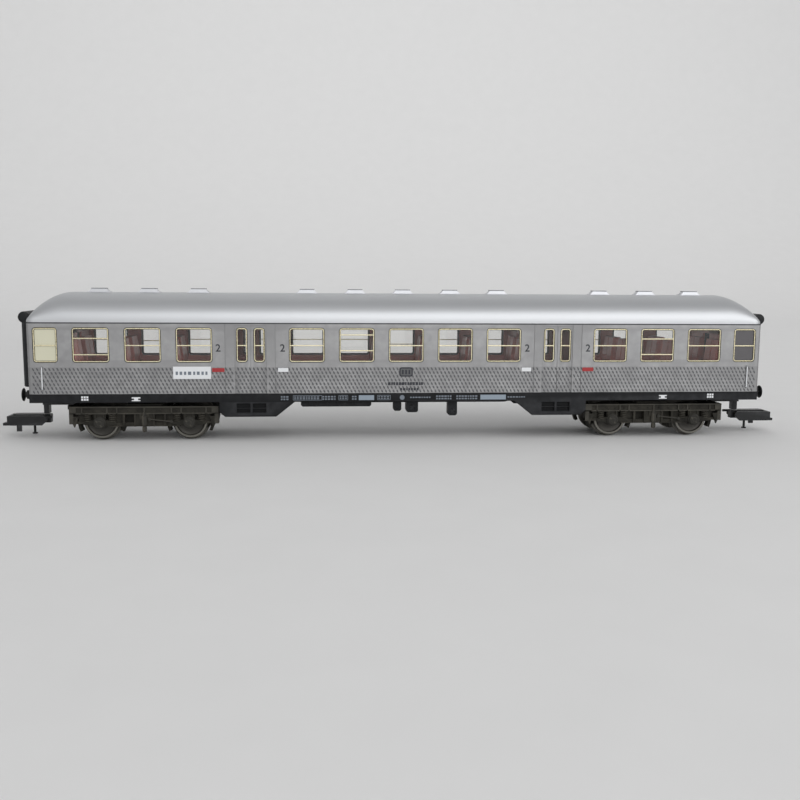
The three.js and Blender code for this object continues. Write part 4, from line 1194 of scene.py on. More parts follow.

# %% [markdown]
# ## Panes
# A clear pane stands behind each frame. The small window at one end belongs to the washroom and
# is frosted cream. The one at the other end looks into a dark vestibule, so its pane is an opaque
# dark grey that is painted shade for the room behind; those two get a pane of their own. Panes
# keep their flat shading, because the smallest bend in the shading of clear glass would work
# like a lens.

# %% Panes
def make_panes(name, side, windows, material):
    bm = bmesh.new()
    for x, width, recess in windows:
        shape = rounded_outline(x, WINDOW_MIDDLE, width - 0.1, WINDOW_HEIGHT - 0.1, WINDOW_CORNER)
        outer = SIDE - recess - 0.34
        plate(bm, shape, side * outer, side * (outer - 0.3))
    return new_piece(name, bm, material)


for label, side in (("near", -1), ("far", 1)):
    clear = [w for w in WINDOWS if w[1] != END_WIDTH]
    panes = make_panes(f"panes_{label}", side, clear, clear_pane)
    deliver(panes, "coach", "clear_glazing", f"glazing_{label}")
    frosted = make_panes(
        f"washroom_pane_{label}", side, [(end_windows[0], END_WIDTH, 0)], frosted_pane
    )
    deliver(frosted, "coach", "clear_glazing")
    vestibule_shade = make_panes(
        f"vestibule_pane_{label}", side, [(end_windows[1], END_WIDTH, 0)], vestibule_shade_pane
    )
    deliver(vestibule_shade, "coach", "clear_glazing")

# %% [markdown]
# ## The saloons
# The interior is a single red-brown tray with bulkheads and benches standing back to back. Each
# seat back is its own rounded block, because through the windows the eye mostly catches the
# bright upright edges between them.

# %% Interior
tray_low, tray_high = corners("interior")
TRAY_FLOOR = 0.8
AISLE = 2.6
SEAT_HEIGHT, SEAT_BACK_TOP = 5.6, 15.2
BENCH_PAIRS = [
    start + WINDOW_PITCH * share for start in (0, END_SALOON_WINDOW) for share in (0.5, 1.5)
]
BULKHEAD_FROM_DOOR, BULKHEAD_FROM_END = 9.65, 12.2
BULKHEADS = [DOOR - BULKHEAD_FROM_DOOR, DOOR + BULKHEAD_FROM_DOOR, END - BULKHEAD_FROM_END]
LONE_BENCHES = list(zip(BULKHEADS, (-1, 1, -1)))


def seat(bm, x, facing, y0, y1):
    """One seat and its back; it faces along X."""
    low = tray_low.z
    back = [
        (x, low + SEAT_BACK_TOP), (x + facing * 1.3, low + SEAT_BACK_TOP),
        (x + facing * 2.5, low + SEAT_HEIGHT), (x, low + SEAT_HEIGHT),
    ]
    cushion = [
        (x, low + SEAT_HEIGHT), (x + facing * 4.9, low + SEAT_HEIGHT - 0.2),
        (x + facing * 4.8, low + SEAT_HEIGHT - 1.8), (x, low + SEAT_HEIGHT - 2.0),
    ]
    plate(bm, back, y0, y1)
    plate(bm, cushion, y0, y1)
    foot, under = low + TRAY_FLOOR / 2, low + SEAT_HEIGHT - 1.9
    block(bm, x, x + facing * 3.6, y0 + 0.4, y1 - 0.4, foot, under)


def make_saloons():
    bm = bmesh.new()
    low, ceiling = tray_low.z, tray_high.z
    reach, side = tray_high.x, tray_high.y
    block(bm, -reach, reach, -side, side, low, low + TRAY_FLOOR)
    for s in (-1, 1):
        block(bm, -reach, reach, s * (side - 0.6), s * side, low, low + 8.2)
    for x in [s * b for s in (-1, 1) for b in BULKHEADS]:
        for s in (-1, 1):
            block(bm, x - 0.4, x + 0.4, s * AISLE, s * side, low, ceiling)
        block(bm, x - 0.4, x + 0.4, -side, side, ceiling - 2.5, ceiling)
    benches = [(s * x, f) for s in (-1, 1) for x in BENCH_PAIRS for f in (-1, 1)]
    benches += [(s * x, s * f) for s in (-1, 1) for x, f in LONE_BENCHES]
    middle = (AISLE + side - 0.3) / 2
    for x, facing in benches:
        for s in (-1, 1):
            for y0, y1 in ((AISLE, middle - 0.15), (middle + 0.15, side - 0.3)):
                seat(bm, x, facing, *sorted((s * y0, s * y1)))
    return soften(new_piece("saloon_interior", bm, seat_brown), 0.2)


deliver(make_saloons(), "coach", "brown_interior", "interior")
weight = refine("ballast_plate", "ballast_weight", zinc_weight, 0.15)
deliver(weight, "coach", "bright_steel", "ballast_plate")

# %% [markdown]
# ## The underframe
# The black underframe keeps the frame's own shape, because that is already right. Its copy is
# welded, so that its edges can be rounded, and small parts are added to it: treads in the step
# wells and pipes beneath the floor.

# %% Underframe
SOLEBAR = corners("underframe")[1].y
underframe = refine("underframe", "chassis", chassis_black, 0.1)
deliver(underframe, "coach", "black_plastic", "underframe")


def make_steps():
    places = []
    for side in (-1, 1):
        for door in (-DOOR, DOOR):
            for leaf in (-2.55, 2.55):
                for level in (6.4, 4.9):
                    places.append((door + leaf, side * (SOLEBAR - 0.38), SILL - level))
    steps = grow(
        "step_treads", slat_tree, chassis_black, places, Length=4.2, Height=0.24, Depth=0.7
    )
    return soften(steps, 0.05)


deliver(make_steps(), "coach", "black_plastic")


def make_pipes():
    bm = bmesh.new()
    for side in (-1, 1):
        y = side * (SOLEBAR - 3.4)
        run = [
            (-60, y, 13.9), (-36, y, 13.9), (-34, y, 12.7),
            (34, y, 12.7), (36, y, 13.9), (60, y, 13.9),
        ]
        wire(bm, round_corners(run, 1.0), 0.4)
    for x in (-58, -20, 20, 58):
        block(bm, x - 0.6, x + 0.6, -11.9, 11.9, 13.4, 14.5)
    return soften(new_piece("floor_pipes", bm, chassis_black), 0.06)


deliver(make_pipes(), "coach", "black_plastic")

# %% Boxes below the floor
for node in ("battery_box", "brake_lever_bracket", "brake_valve", "water_filler"):
    low, high = corners(node)
    box = refine(node, f"{node}_casting", chassis_black, 0.16)
    deliver(box, "coach", "black_plastic", node)


def make_box_details():
    bm = bmesh.new()
    low, high = corners("battery_box")
    for i in range(4):
        x = low.x + (high.x - low.x) * (i + 0.5) / 4
        block(bm, x - 2.5, x + 2.5, low.y - 0.12, low.y + 0.2, low.z + 0.5, low.z + 1.6)
        rod(bm, low.y - 0.25, low.y, 0.3, "y", (x, 0, low.z + 1.05), 12)
    low, high = corners("brake_valve")
    middle = (low.x + high.x) / 2
    cap = [
        (0, low.y - 0.3), (0.8, low.y - 0.3), (1.1, low.y), (1.1, low.y + 0.6), (0, low.y + 0.6),
    ]
    lathe(bm, cap, (middle, 0, low.z + 1.6), "y", 20)
    low, high = corners("water_filler")
    middle = (low.x + high.x) / 2
    cap = [
        (0, low.y - 0.2), (0.7, low.y - 0.2), (0.9, low.y), (0.9, low.y + 0.4), (0, low.y + 0.4),
    ]
    lathe(bm, cap, (middle, 0, low.z + 1.5), "y", 20)
    low, high = corners("brake_lever_bracket")
    middle = (low.x + high.x) / 2
    rod(bm, low.y - 0.35, low.y + 0.3, 0.45, "y", (middle, 0, low.z + 0.9), 14)
    return soften(new_piece("floor_box_details", bm, chassis_black), 0.04)


deliver(make_box_details(), "coach", "black_plastic")

# %% [markdown]
# ## Print
# The prints are foils a few hundredths of a millimetre thick, each a real thin plate, so that
# they show their edge in a raking light. The words and signs of the full-size coach are replaced
# by plain dashes and blank panels. The far side wears the same prints, turned half round.

# %% Print helpers
PRINT = 0.05


def stamp(bm, x0, x1, z0, z1, face):
    """A thin rectangle on the near side, on a plane at y = -face."""
    block(bm, x0, x1, -face - PRINT, -face + 0.1, z0, z1)


def dashes(bm, x0, x1, z0, z1, face, rows=2, seed=3):
    """Rows of short uneven dashes, like small print seen from afar."""
    pitch = (z1 - z0) / rows
    for row in range(rows):
        x = x0
        step = seed + row * 5
        while x < x1 - 0.3:
            length = 0.45 + 0.35 * ((step * 7) % 5) / 4
            z = z0 + row * pitch
            stamp(bm, x, min(x + length, x1), z + pitch * 0.15, z + pitch * 0.75, face)
            x += length + 0.28
            step += 3


def both_sides(bm):
    """The same prints on the far side, turned half round."""
    copy = bmesh.ops.duplicate(bm, geom=bm.verts[:] + bm.edges[:] + bm.faces[:])
    verts = [item for item in copy["geom"] if isinstance(item, bmesh.types.BMVert)]
    bmesh.ops.rotate(bm, cent=(0, 0, 0), matrix=Matrix.Rotation(math.pi, 3, "Z"), verts=verts)
    return bm


def print_piece(name, bm, material, body="coach"):
    return deliver(soften(new_piece(name, both_sides(bm), material), 0), body, "white_print")


# %% Solebar marks
MARK_LOW, MARK_HIGH = SILL - 2.35, SILL - 0.75
BOXED = [(-36.7, -27.3), (-22.0, -18.9), (-9.4, -5.0)]
FILLED = [(-15.4, -10.4), (24.7, 33.2)]
WRITTEN = [(-40.6, -37.7), (-27.2, -22.7), (-17.6, -16.0), (10.0, 15.6), (16.7, 23.8)]
SMALL = [(1.4, 8.1), (33.8, 39.6)]


def make_white_marks():
    bm = bmesh.new()
    for x, high in ((-86.45, True), (86.65, True)):
        for z0, z1, half in ((0.0, 0.3, 1.35), (0.3, 0.85, 0.65), (0.85, 1.25, 1.35)):
            stamp(bm, x - half, x + half, MARK_LOW + z0, MARK_LOW + z1, SOLEBAR)
    for x in (-102.4, 103.1):
        for dx, dz in ((-0.8, 0.2), (0.0, 0.2), (0.8, 0.2), (-0.8, 1.0), (0.8, 1.0), (0.0, 1.0)):
            stamp(bm, x + dx - 0.3, x + dx + 0.3, MARK_LOW + dz, MARK_LOW + dz + 0.62, SOLEBAR)
    return print_piece("white_solebar_marks", bm, print_white)


def make_grey_marks():
    bm = bmesh.new()
    for x0, x1 in BOXED:
        for z0, z1 in ((MARK_LOW, MARK_LOW + 0.14), (MARK_HIGH - 0.14, MARK_HIGH)):
            stamp(bm, x0, x1, z0, z1, SOLEBAR)
        for x in (x0, x1 - 0.14):
            stamp(bm, x, x + 0.14, MARK_LOW, MARK_HIGH, SOLEBAR)
        dashes(bm, x0 + 0.4, x1 - 0.4, MARK_LOW + 0.25, MARK_HIGH - 0.2, SOLEBAR)
    for x0, x1 in WRITTEN:
        dashes(bm, x0, x1, MARK_LOW, MARK_HIGH, SOLEBAR)
    for x0, x1 in SMALL:
        dashes(bm, x0, x1, MARK_LOW + 0.5, MARK_HIGH - 0.4, SOLEBAR, rows=1)
    front, rear = -SOLEBAR - PRINT, -SOLEBAR + 0.1
    disc = [(0, front), (0.8, front), (0.8, rear), (0, rear)]
    lathe(bm, disc, (-1.2, 0, (MARK_LOW + MARK_HIGH) / 2), "y", 16)
    return print_piece("grey_solebar_marks", bm, print_faint)


def make_filled_marks():
    bm = bmesh.new()
    for x0, x1 in FILLED:
        stamp(bm, x0, x1, MARK_LOW, MARK_HIGH, SOLEBAR)
    return print_piece("filled_solebar_marks", bm, print_grey)


make_white_marks()
make_grey_marks()
make_filled_marks()

# %% Plates on the side
PLATE_LOW, PLATE_HIGH = SILL + 7.0, SILL + 8.25


def make_side_plates(name, spans, material):
    bm = bmesh.new()
    for x0, x1 in spans:
        block(bm, x0, x1, -SIDE - 0.16, -SIDE + 0.1, PLATE_LOW, PLATE_HIGH)
    piece = soften(new_piece(name, both_sides(bm), material), 0.04)
    return deliver(piece, "coach", "white_print")


make_side_plates("red_door_plates", [(-62.3, -58.4), (58.6, 62.3)], print_red)
make_side_plates("white_door_plates", [(-41.4, -38.1), (38.2, 41.3)], print_white)


def make_cartouche():
    """A blank round-cornered badge with plain bars, and rows of dashes below it."""
    bm = bmesh.new()
    centre_z = SILL + 6.88
    ring = rounded_outline(-0.03, centre_z, 4.4, 3.05, 0.7)
    plate(bm, ring, -SIDE - 0.16, -SIDE + 0.1)
    dashes(bm, -5.9, 5.7, SILL + 2.35, SILL + 3.95, SIDE + 0.12, rows=1, seed=2)
    dashes(bm, -2.0, 4.1, SILL + 0.65, SILL + 1.95, SIDE + 0.12, rows=1, seed=4)
    dark = soften(new_piece("badge", both_sides(bm), print_black), 0.03)
    deliver(dark, "coach", "white_print")
    face = bmesh.new()
    plate(face, rounded_outline(-0.03, centre_z, 3.6, 2.25, 0.45), -SIDE - 0.2, -SIDE - 0.1)
    light = soften(new_piece("badge_face", both_sides(face), silver_stroke), 0.02)
    deliver(light, "coach", "white_print")
    bars = bmesh.new()
    for x in (-1.1, -0.03, 1.04):
        block(bars, x - 0.28, x + 0.28, -SIDE - 0.24, -SIDE - 0.15, centre_z - 0.7, centre_z + 0.7)
    dark_bars = soften(new_piece("badge_bars", both_sides(bars), print_black), 0.02)
    deliver(dark_bars, "coach", "white_print")


make_cartouche()

# %% [markdown]
# The class figure beside each door is a plain 2. Text is the easy way to get a well-drawn
# numeral; it becomes a mesh before it is put in place, because a text object's own turn and
# scale would otherwise stay on the piece.

# %% Class figures
FIGURE_HEIGHT = 2.4
FIGURE_LOW = SILL + 13.5


def make_figures():
    curve = bpy.data.curves.new("figure", "FONT")
    curve.body = "2"
    curve.extrude = 0.02
    curve.offset = 0.012
    curve.resolution_u = 6
    text = bpy.data.objects.new("figure", curve)
    bpy.context.scene.collection.objects.link(text)
    seen = text.evaluated_get(bpy.context.evaluated_depsgraph_get())
    drawn = bpy.data.meshes.new_from_object(seen)
    bpy.data.objects.remove(text)
    xs = [v.co.x for v in drawn.vertices]
    ys = [v.co.y for v in drawn.vertices]
    scale = FIGURE_HEIGHT / (max(ys) - min(ys))
    centre = Matrix.Translation((-(min(xs) + max(xs)) / 2, -min(ys), 0))
    size = Matrix.Diagonal((scale, scale, 1.6, 1))
    bm = bmesh.new()
    for x in (-60.3, -39.9, 39.9, 60.3):
        one = drawn.copy()
        place = Matrix.Translation((x, -SIDE - 0.02, FIGURE_LOW))
        upright = Matrix.Rotation(math.pi / 2, 4, "X")
        one.transform(place @ upright @ size @ centre)
        bm.from_mesh(one)
        bpy.data.meshes.remove(one)
    bmesh.ops.remove_doubles(bm, verts=bm.verts, dist=0.0005)
    return print_piece("class_figures", bm, print_black)


make_figures()

# %% Destination plate
def make_destination():
    board = refine("destination_plate", "destination_board", print_white, 0.05)
    deliver(board, "coach", "white_print", "destination_plate")
    low, high = corners("destination_plate")
    bm = bmesh.new()
    middle = (low.z + high.z) / 2
    x = low.x + 0.8
    for length in (0.9, 1.0, 0.9, 1.3, 0.8, 1.1, 0.9, 0.8):
        block(bm, x, x + length * 0.8, low.y - 0.04, low.y + 0.05, middle - 0.65, middle + 0.4)
        x += length + 0.35
    dark = soften(new_piece("destination_dashes", bm, print_faint), 0)
    deliver(dark, "coach", "white_print")


make_destination()

# %% [markdown]
# ## The ends
# Each end carries a rubber gangway: two fat upright tubes and a roll across the top, which lean
# against the next coach. The tubes are turned shapes, so that the rubber reads as round. The
# right end is drawn, and the left end is the same thing turned half round.

# %% Gangways
gangway_low, gangway_high = corners("gangway_bellows_right")
ROLL_RADIUS = 1.85
ROLL_X = gangway_high.x - ROLL_RADIUS
ROLL_Z = gangway_high.z - ROLL_RADIUS - 1.1
TUBE_RADIUS = 1.4


def make_gangway(end):
    bm = bmesh.new()
    foot, face = gangway_low.z, END + 3.65
    half = gangway_high.y
    roll = [
        (0, -half), (1.2, -half), (1.7, -half + 0.2), (ROLL_RADIUS, -half + 0.7),
        (ROLL_RADIUS, half - 0.7), (1.7, half - 0.2), (1.2, half), (0, half),
    ]
    lathe(bm, roll, (ROLL_X, 0, ROLL_Z), "y", 40)
    for side in (-1, 1):
        y = side * (half - TUBE_RADIUS)
        tube = [
            (0, foot), (1.1, foot), (TUBE_RADIUS, foot + 0.3), (TUBE_RADIUS, ROLL_Z), (0, ROLL_Z),
        ]
        lathe(bm, tube, (face - TUBE_RADIUS, y, 0), "z", 28)
        block(bm, END, face - TUBE_RADIUS, y - 1.1, y + 1.1, foot, GUTTER - 0.4)
        block(bm, END, END + 0.5, y - 1.35, y + 1.35, foot, GUTTER - 0.4)
        block(bm, END + 0.9, face - TUBE_RADIUS, y - 1.0, y + 1.0, GUTTER - 1, ROLL_Z)
    block(bm, END, face - 1.1, -half + 2.3, half - 2.3, foot, foot + 0.9)
    bm.transform(end_turn(end))
    gangway = soften(new_piece(f"gangway_{end}", bm, rubber_black), 0.16)
    return deliver(gangway, "coach", "black_rubber", f"gangway_bellows_{end}")


for end in ENDS:
    make_gangway(end)

# %% End doors
def make_end_door(end):
    low, high = corners("end_door_right")
    bm = bmesh.new()
    block(bm, low.x, high.x, low.y, high.y, low.z, high.z)
    for z0, z1 in ((low.z + 1.0, low.z + 7.0), (low.z + 8.2, high.z - 1.0)):
        for y0, y1 in ((low.y + 0.5, low.y + 0.8), (high.y - 0.8, high.y - 0.5)):
            block(bm, high.x - 0.1, high.x + 0.12, y0, y1, z0, z1)
        for z in (z0, z1 - 0.3):
            block(bm, high.x - 0.1, high.x + 0.12, low.y + 0.5, high.y - 0.5, z, z + 0.3)
    grip = [(high.x, low.y + 1.3, 24.6), (high.x + 0.45, low.y + 1.3, 24.6)]
    grip += [(high.x + 0.45, low.y + 1.3, 26.6), (high.x, low.y + 1.3, 26.6)]
    wire(bm, round_corners(grip, 0.2), 0.14)
    bm.transform(end_turn(end))
    door = soften(new_piece(f"end_door_leaf_{end}", bm, silver_side), 0.05)
    deliver(door, "coach", "silver_side", f"end_door_{end}")
    # The end door glass gets the same opaque dark pane, painted shade of the vestibule behind it.
    glass_bm = bmesh.new()
    z = (low.z + 8.2 + high.z - 1.0) / 2
    height = high.z - 1.0 - low.z - 8.2 - 0.6
    shape = rounded_outline(0, z, high.y - low.y - 1.7, height, 0.5)
    plate(glass_bm, shape, high.x - 0.05, high.x + 0.06, "yzx")
    glass_bm.transform(end_turn(end))
    window = soften(new_piece(f"end_door_window_{end}", glass_bm, vestibule_shade_pane), 0.02)
    return deliver(window, "coach", "clear_glazing")


for end in ENDS:
    make_end_door(end)

# %% [markdown]
# Buffers are turned parts: a square foot, a stock, a plunger and a dished head. The lathe maker
# takes their profile, drawn from the beam outwards.

# %% Buffers
def make_buffer(end, label, side):
    low, high = corners(f"buffer_right_{'far' if side > 0 else 'near'}")
    y, z = (low.y + high.y) / 2, (low.z + high.z) / 2
    reach, head = high.x - low.x, (high.z - low.z) / 2
    bm = bmesh.new()
    profile = [
        (0, 0), (1.7, 0), (1.7, 0.5), (1.3, 0.62), (1.25, 1.3), (1.42, 1.35), (1.42, 1.9),
        (0.9, 1.95), (0.85, reach - 0.95), (1.2, reach - 0.85), (head - 0.06, reach - 0.52),
        (head, reach - 0.4), (head - 0.08, reach - 0.26), (head * 0.7, reach - 0.06), (0, reach),
    ]
    lathe(bm, profile, (low.x, y, z), "x", 40)
    block(bm, low.x, low.x + 0.35, y - 1.9, y + 1.9, z - 1.9, z + 1.9)
    for dy in (-1.5, 1.5):
        for dz in (-1.5, 1.5):
            rod(bm, low.x, low.x + 0.6, 0.24, "x", (0, y + dy, z + dz), 8)
    bm.transform(end_turn(end))
    buffer = soften(new_piece(f"buffer_{end}_{label}_turned", bm, coupling_black), 0.05)
    return deliver(buffer, "coach", "black_plastic", f"buffer_{end}_{label}")


for end in ENDS:
    for label in ("near", "far"):
        facing = (1 if label == "far" else -1) * (1 if end == "right" else -1)
        make_buffer(end, label, facing)

# %% Handrails
def make_handrail(end, label):
    low, high = corners(f"handrail_{end}_{label}")
    side = 1 if label == "far" else -1
    x = (low.x + high.x) / 2
    outer = (high.y if side > 0 else low.y) - side * 0.18
    run = [(x, side * (SIDE - 0.2), low.z + 0.18), (x, outer, low.z + 0.18)]
    run += [(x, outer, high.z - 0.18), (x, side * (SIDE - 0.2), high.z - 0.18)]
    bm = bmesh.new()
    wire(bm, round_corners(run, 0.3), 0.18, 10)
    for z in (low.z + 0.18, high.z - 0.18):
        lathe(bm, [(0, 0), (0.34, 0), (0.34, 0.1), (0, 0.14)], (x, side * SIDE, z), "y", 14)
    rail = soften(new_piece(f"handrail_{end}_{label}_wire", bm, print_white), 0)
    return deliver(rail, "coach", "white_print", f"handrail_{end}_{label}")


for end in ENDS:
    for label in ("near", "far"):
        make_handrail(end, label)

# %% [markdown]
# ## Bogies
# A bogie is two cast side frames tied by headstocks and a bolster. It is drawn once about its
# own pivot, out of beams, ribs, axle boxes, swing arms and brake shoes, then moved to each end.
# Overlapping mouldings are left as they are, because each keeps its own round edges that way.

# %% Bogie sizes
FRAME_END = corners("bogie_frame_left")[1].x + PIVOT
AXLE_X = 14.15
FRAME_IN, FRAME_OUT = 10.9, 13.4
AXLE_END = corners("axle_right_inner")[1].y + 0.15
FRAME_TOP = AXLE_HEIGHT + 5.4
BEAM_LOW = AXLE_HEIGHT + 2.9
SPRING_X = 3.9
print(f"bogie ends {FRAME_END:.2f} mm from its pivot; frame top {FRAME_TOP:.2f}")


def to_bogie(bm, end):
    """Moves a bogie drawn about its pivot to its place."""
    bm.transform(Matrix.Translation((PIVOT, 0, 0)))
    bm.transform(end_turn(end))


# %% Side frames
def add_side_frame(bm, side):
    def bar(x0, x1, inner, outer, z0, z1):
        block(bm, x0, x1, side * inner, side * outer, z0, z1)

    bar(-FRAME_END, FRAME_END, FRAME_IN, FRAME_OUT - 0.5, BEAM_LOW, FRAME_TOP)
    bar(-FRAME_END, FRAME_END, FRAME_IN, FRAME_OUT, FRAME_TOP - 0.45, FRAME_TOP)
    bar(-FRAME_END, FRAME_END, FRAME_IN, FRAME_OUT - 0.1, BEAM_LOW, BEAM_LOW + 0.4)
    for x in (-19.6, -11.7, -8.6, 0.0, 8.6, 11.7, 19.6):
        bar(x - 0.22, x + 0.22, FRAME_IN, FRAME_OUT - 0.1, BEAM_LOW, FRAME_TOP)
    bar(-11.2, 11.2, FRAME_IN, FRAME_OUT - 0.9, AXLE_HEIGHT - 1.2, AXLE_HEIGHT + 0.1)
    bar(-11.2, 11.2, FRAME_IN, FRAME_OUT - 0.5, AXLE_HEIGHT - 1.2, AXLE_HEIGHT - 0.8)
    bar(-3.2, 3.2, FRAME_IN, FRAME_OUT - 0.6, AXLE_HEIGHT - 1.2, BEAM_LOW + 0.1)
    for x in (-3.0, 3.0):
        bar(x - 0.25, x + 0.25, FRAME_IN, FRAME_OUT - 0.2, AXLE_HEIGHT - 1.2, BEAM_LOW + 0.3)
    for end in (-1, 1):
        inside = end * (FRAME_END - 1.3)
        bar(end * FRAME_END, inside, FRAME_IN, FRAME_OUT - 0.1, 5.9, BEAM_LOW + 0.1)
        bar(end * FRAME_END, end * (AXLE_X + 3), FRAME_IN, FRAME_OUT - 0.6, 5.9, 6.7)
        bar(end * 20.9, end * 18.7, FRAME_IN, FRAME_OUT - 1.3, 6.2, BEAM_LOW + 0.1)
        bar(end * 10.2, end * 6.9, FRAME_IN, FRAME_OUT - 1.6, 6.2, BEAM_LOW + 0.1)
        bar(end * 6.9, end * 6.2, FRAME_IN, FRAME_OUT - 0.4, 5.4, BEAM_LOW + 0.1)
        bar(end * 22.4, end * 16.3, FRAME_IN - 0.35, FRAME_IN + 0.1, 6.0, BEAM_LOW + 0.1)
        bar(end * 12.0, end * 3.1, FRAME_IN - 0.35, FRAME_IN + 0.1, 6.0, BEAM_LOW + 0.1)
        hanger = [(end * 20.6, 8.3), (end * 23.4, 8.3), (end * 22.9, 6.6), (end * 22.0, 4.7)]
        plate(bm, hanger, side * (FRAME_OUT - 0.9), side * (FRAME_OUT - 0.2))
    for x in (-AXLE_X, AXLE_X):
        add_axle_box(bm, x, side)


def add_axle_box(bm, x, side):
    """The round box on its swing arm, with a ribbed guide above it."""
    z = AXLE_HEIGHT
    guide = [(x - 2.0, BEAM_LOW + 0.2), (x - 1.7, z), (x + 1.7, z), (x + 2.0, BEAM_LOW + 0.2)]
    plate(bm, guide, side * AXLE_END, side * (FRAME_OUT - 0.7))
    for dx in (-1.3, 1.3):
        y0, y1 = side * AXLE_END, side * (FRAME_OUT - 0.3)
        block(bm, x + dx - 0.2, x + dx + 0.2, y0, y1, z, BEAM_LOW + 1.2)
    arm = [
        (x - 5.3, z - 0.5), (x - 3.0, z - 0.8), (x, z - 1.5),
        (x + 3.0, z - 0.8), (x + 5.3, z - 0.5), (x + 5.3, z + 0.4),
        (x + 2.4, z + 0.9), (x - 2.4, z + 0.9), (x - 5.3, z + 0.4),
    ]
    plate(bm, arm, side * AXLE_END, side * (FRAME_OUT - 0.35))
    face = FRAME_OUT + 0.55
    cap = [
        (0, AXLE_END), (1.3, AXLE_END), (1.3, FRAME_IN), (2.0, FRAME_IN),
        (2.0, FRAME_OUT - 0.1), (1.72, FRAME_OUT + 0.02),
        (1.66, face - 0.2), (1.5, face - 0.08), (0.75, face - 0.06), (0.7, face), (0, face),
    ]
    lathe(bm, [(r, side * along) for r, along in cap], (x, 0, z), "y", 32)
    for dx, dz in ((-1, -1), (1, -1), (-1, 1), (1, 1)):
        centre = (x + dx * 1.0, 0, z + dz * 1.0)
        rod(bm, side * (face - 0.2), side * (face + 0.0), 0.2, "y", centre, 6)


# %% Dampers, link rods and shoes
def add_damper(bm, side):
    y = side * FRAME_OUT
    profile = [
        (0, 3.3), (0.55, 3.35), (0.72, 3.7), (0.72, 4.9), (0.5, 5.1), (0.5, 5.5), (0.85, 5.6),
        (0.9, 6.2), (0.9, 8.4), (0.6, 8.6), (0.6, 9.4), (0.35, 9.7), (0, 9.7),
    ]
    lathe(bm, profile, (0, y - side * 0.1, 0), "z", 20)
    block(bm, -1.5, 1.5, y - side * 1.2, y - side * 0.2, 7.4, 9.6)
    rod(bm, y - side * 0.9, y + side * 0.5, 0.55, "y", (0, 0, 8.0), 16)
    link = [(side * -8.6, y - side * 0.05, 6.6), (side * -1.6, y - side * 0.05, 7.4)]
    wire(bm, link, 0.24, 10)
    for x, z in ((side * -8.6, 6.6), (side * -1.6, 7.4)):
        rod(bm, y - side * 0.6, y + side * 0.3, 0.5, "y", (x, 0, z), 14)


def add_brake(bm, axle, end):
    """Curved shoes on both wheels, hung from a cross bar, on one side of an axle."""
    reach, thick = 6.65, 1.0
    angles = [math.radians(a) for a in (-26, -16, -6, 4)]
    rims = ((reach, angles), (reach + thick, angles[::-1]))
    shoe = [(r * math.cos(a), r * math.sin(a)) for r, turns in rims for a in turns]
    outline = [(axle + end * a, AXLE_HEIGHT + b) for a, b in shoe]
    x = axle + end * (reach + thick / 2)
    for side in (-1, 1):
        plate(bm, outline, side * 7.4, side * 9.9)
        block(bm, x - 0.35, x + 0.35, side * 8.1, side * 9.4, AXLE_HEIGHT - 1.0, BEAM_LOW + 0.6)
    block(bm, x - 0.5, x + 0.5, -FRAME_IN - 0.4, FRAME_IN + 0.4, BEAM_LOW + 0.2, BEAM_LOW + 1.3)


def make_bogie(end):
    bm = bmesh.new()
    for side in (-1, 1):
        add_side_frame(bm, side)
        add_damper(bm, side)
    for axle in (-AXLE_X, AXLE_X):
        for way in (-1, 1):
            add_brake(bm, axle, way)
    for way in (-1, 1):
        x0, x1 = way * FRAME_END, way * (FRAME_END - 2.2)
        block(bm, x0, x1, -FRAME_OUT + 0.1, FRAME_OUT - 0.1, BEAM_LOW, FRAME_TOP - 0.05)
    block(bm, -5.4, 5.4, -11.4, 11.4, AXLE_HEIGHT + 2.8, AXLE_HEIGHT + 6.0)
    tongue = [(FRAME_END - 0.6, -2.6), (FRAME_END + 2.4, -2.6), (FRAME_END + 3.4, -1.6)]
    tongue += [(x, -y) for x, y in reversed(tongue)]
    plate(bm, tongue, FRAME_TOP - 2.5, FRAME_TOP - 1.1, "xyz")
    to_bogie(bm, end)
    bogie = soften(new_piece(f"bogie_casting_{end}", bm, bogie_black), 0.09)
    # The outward faces of the side frames take the lighter copy, a painted highlight.
    bogie.data.materials.append(bogie_highlit)
    for face in bogie.data.polygons:
        if abs(face.center.y) > FRAME_OUT - 0.15:
            face.material_index = 1
    return deliver(bogie, f"bogie_{end}", "bogie_plastic", f"bogie_frame_{end}")


for end in ENDS:
    make_bogie(end)

# %% [markdown]
# ## Coil springs and bolts
# Each axle box hangs between two coil springs. A spiral curve swept with a round wire makes a
# spring, and the tree sets it at eight places on each bogie. Hexagon bolt heads come from a
# tree of their own; both take their sizes as named inputs.

# %% Coil springs
SPRING = {"Turns": 4.2, "Radius": 0.92, "Height": 2.5, "Wire": 0.24}


def build_spring_tree():
    tree, given = geometry_tree("Coil spring", SPRING)
    spiral = add(
        tree,
        "GeometryNodeCurveSpiral",
        {
            "Resolution": 14, "Rotations": given["Turns"], "Start Radius": given["Radius"],
            "End Radius": given["Radius"], "Height": given["Height"],
        },
    )
    round_wire = add(
        tree, "GeometryNodeCurvePrimitiveCircle", {"Resolution": 8, "Radius": given["Wire"]}
    )
    coil = add(
        tree,
        "GeometryNodeCurveToMesh",
        {
            "Curve": spiral.outputs[0], "Profile Curve": round_wire.outputs[0],
            "Fill Caps": True,
        },
    )
    copies = add(
        tree,
        "GeometryNodeInstanceOnPoints",
        {"Points": given["Points"], "Instance": coil.outputs[0]},
    )
    return close_tree(tree, given, copies.outputs[0])


spring_tree = build_spring_tree()


def bogie_point(end, x, y, z):
    way = 1 if end == "right" else -1
    return (way * (PIVOT + x), way * y, z)


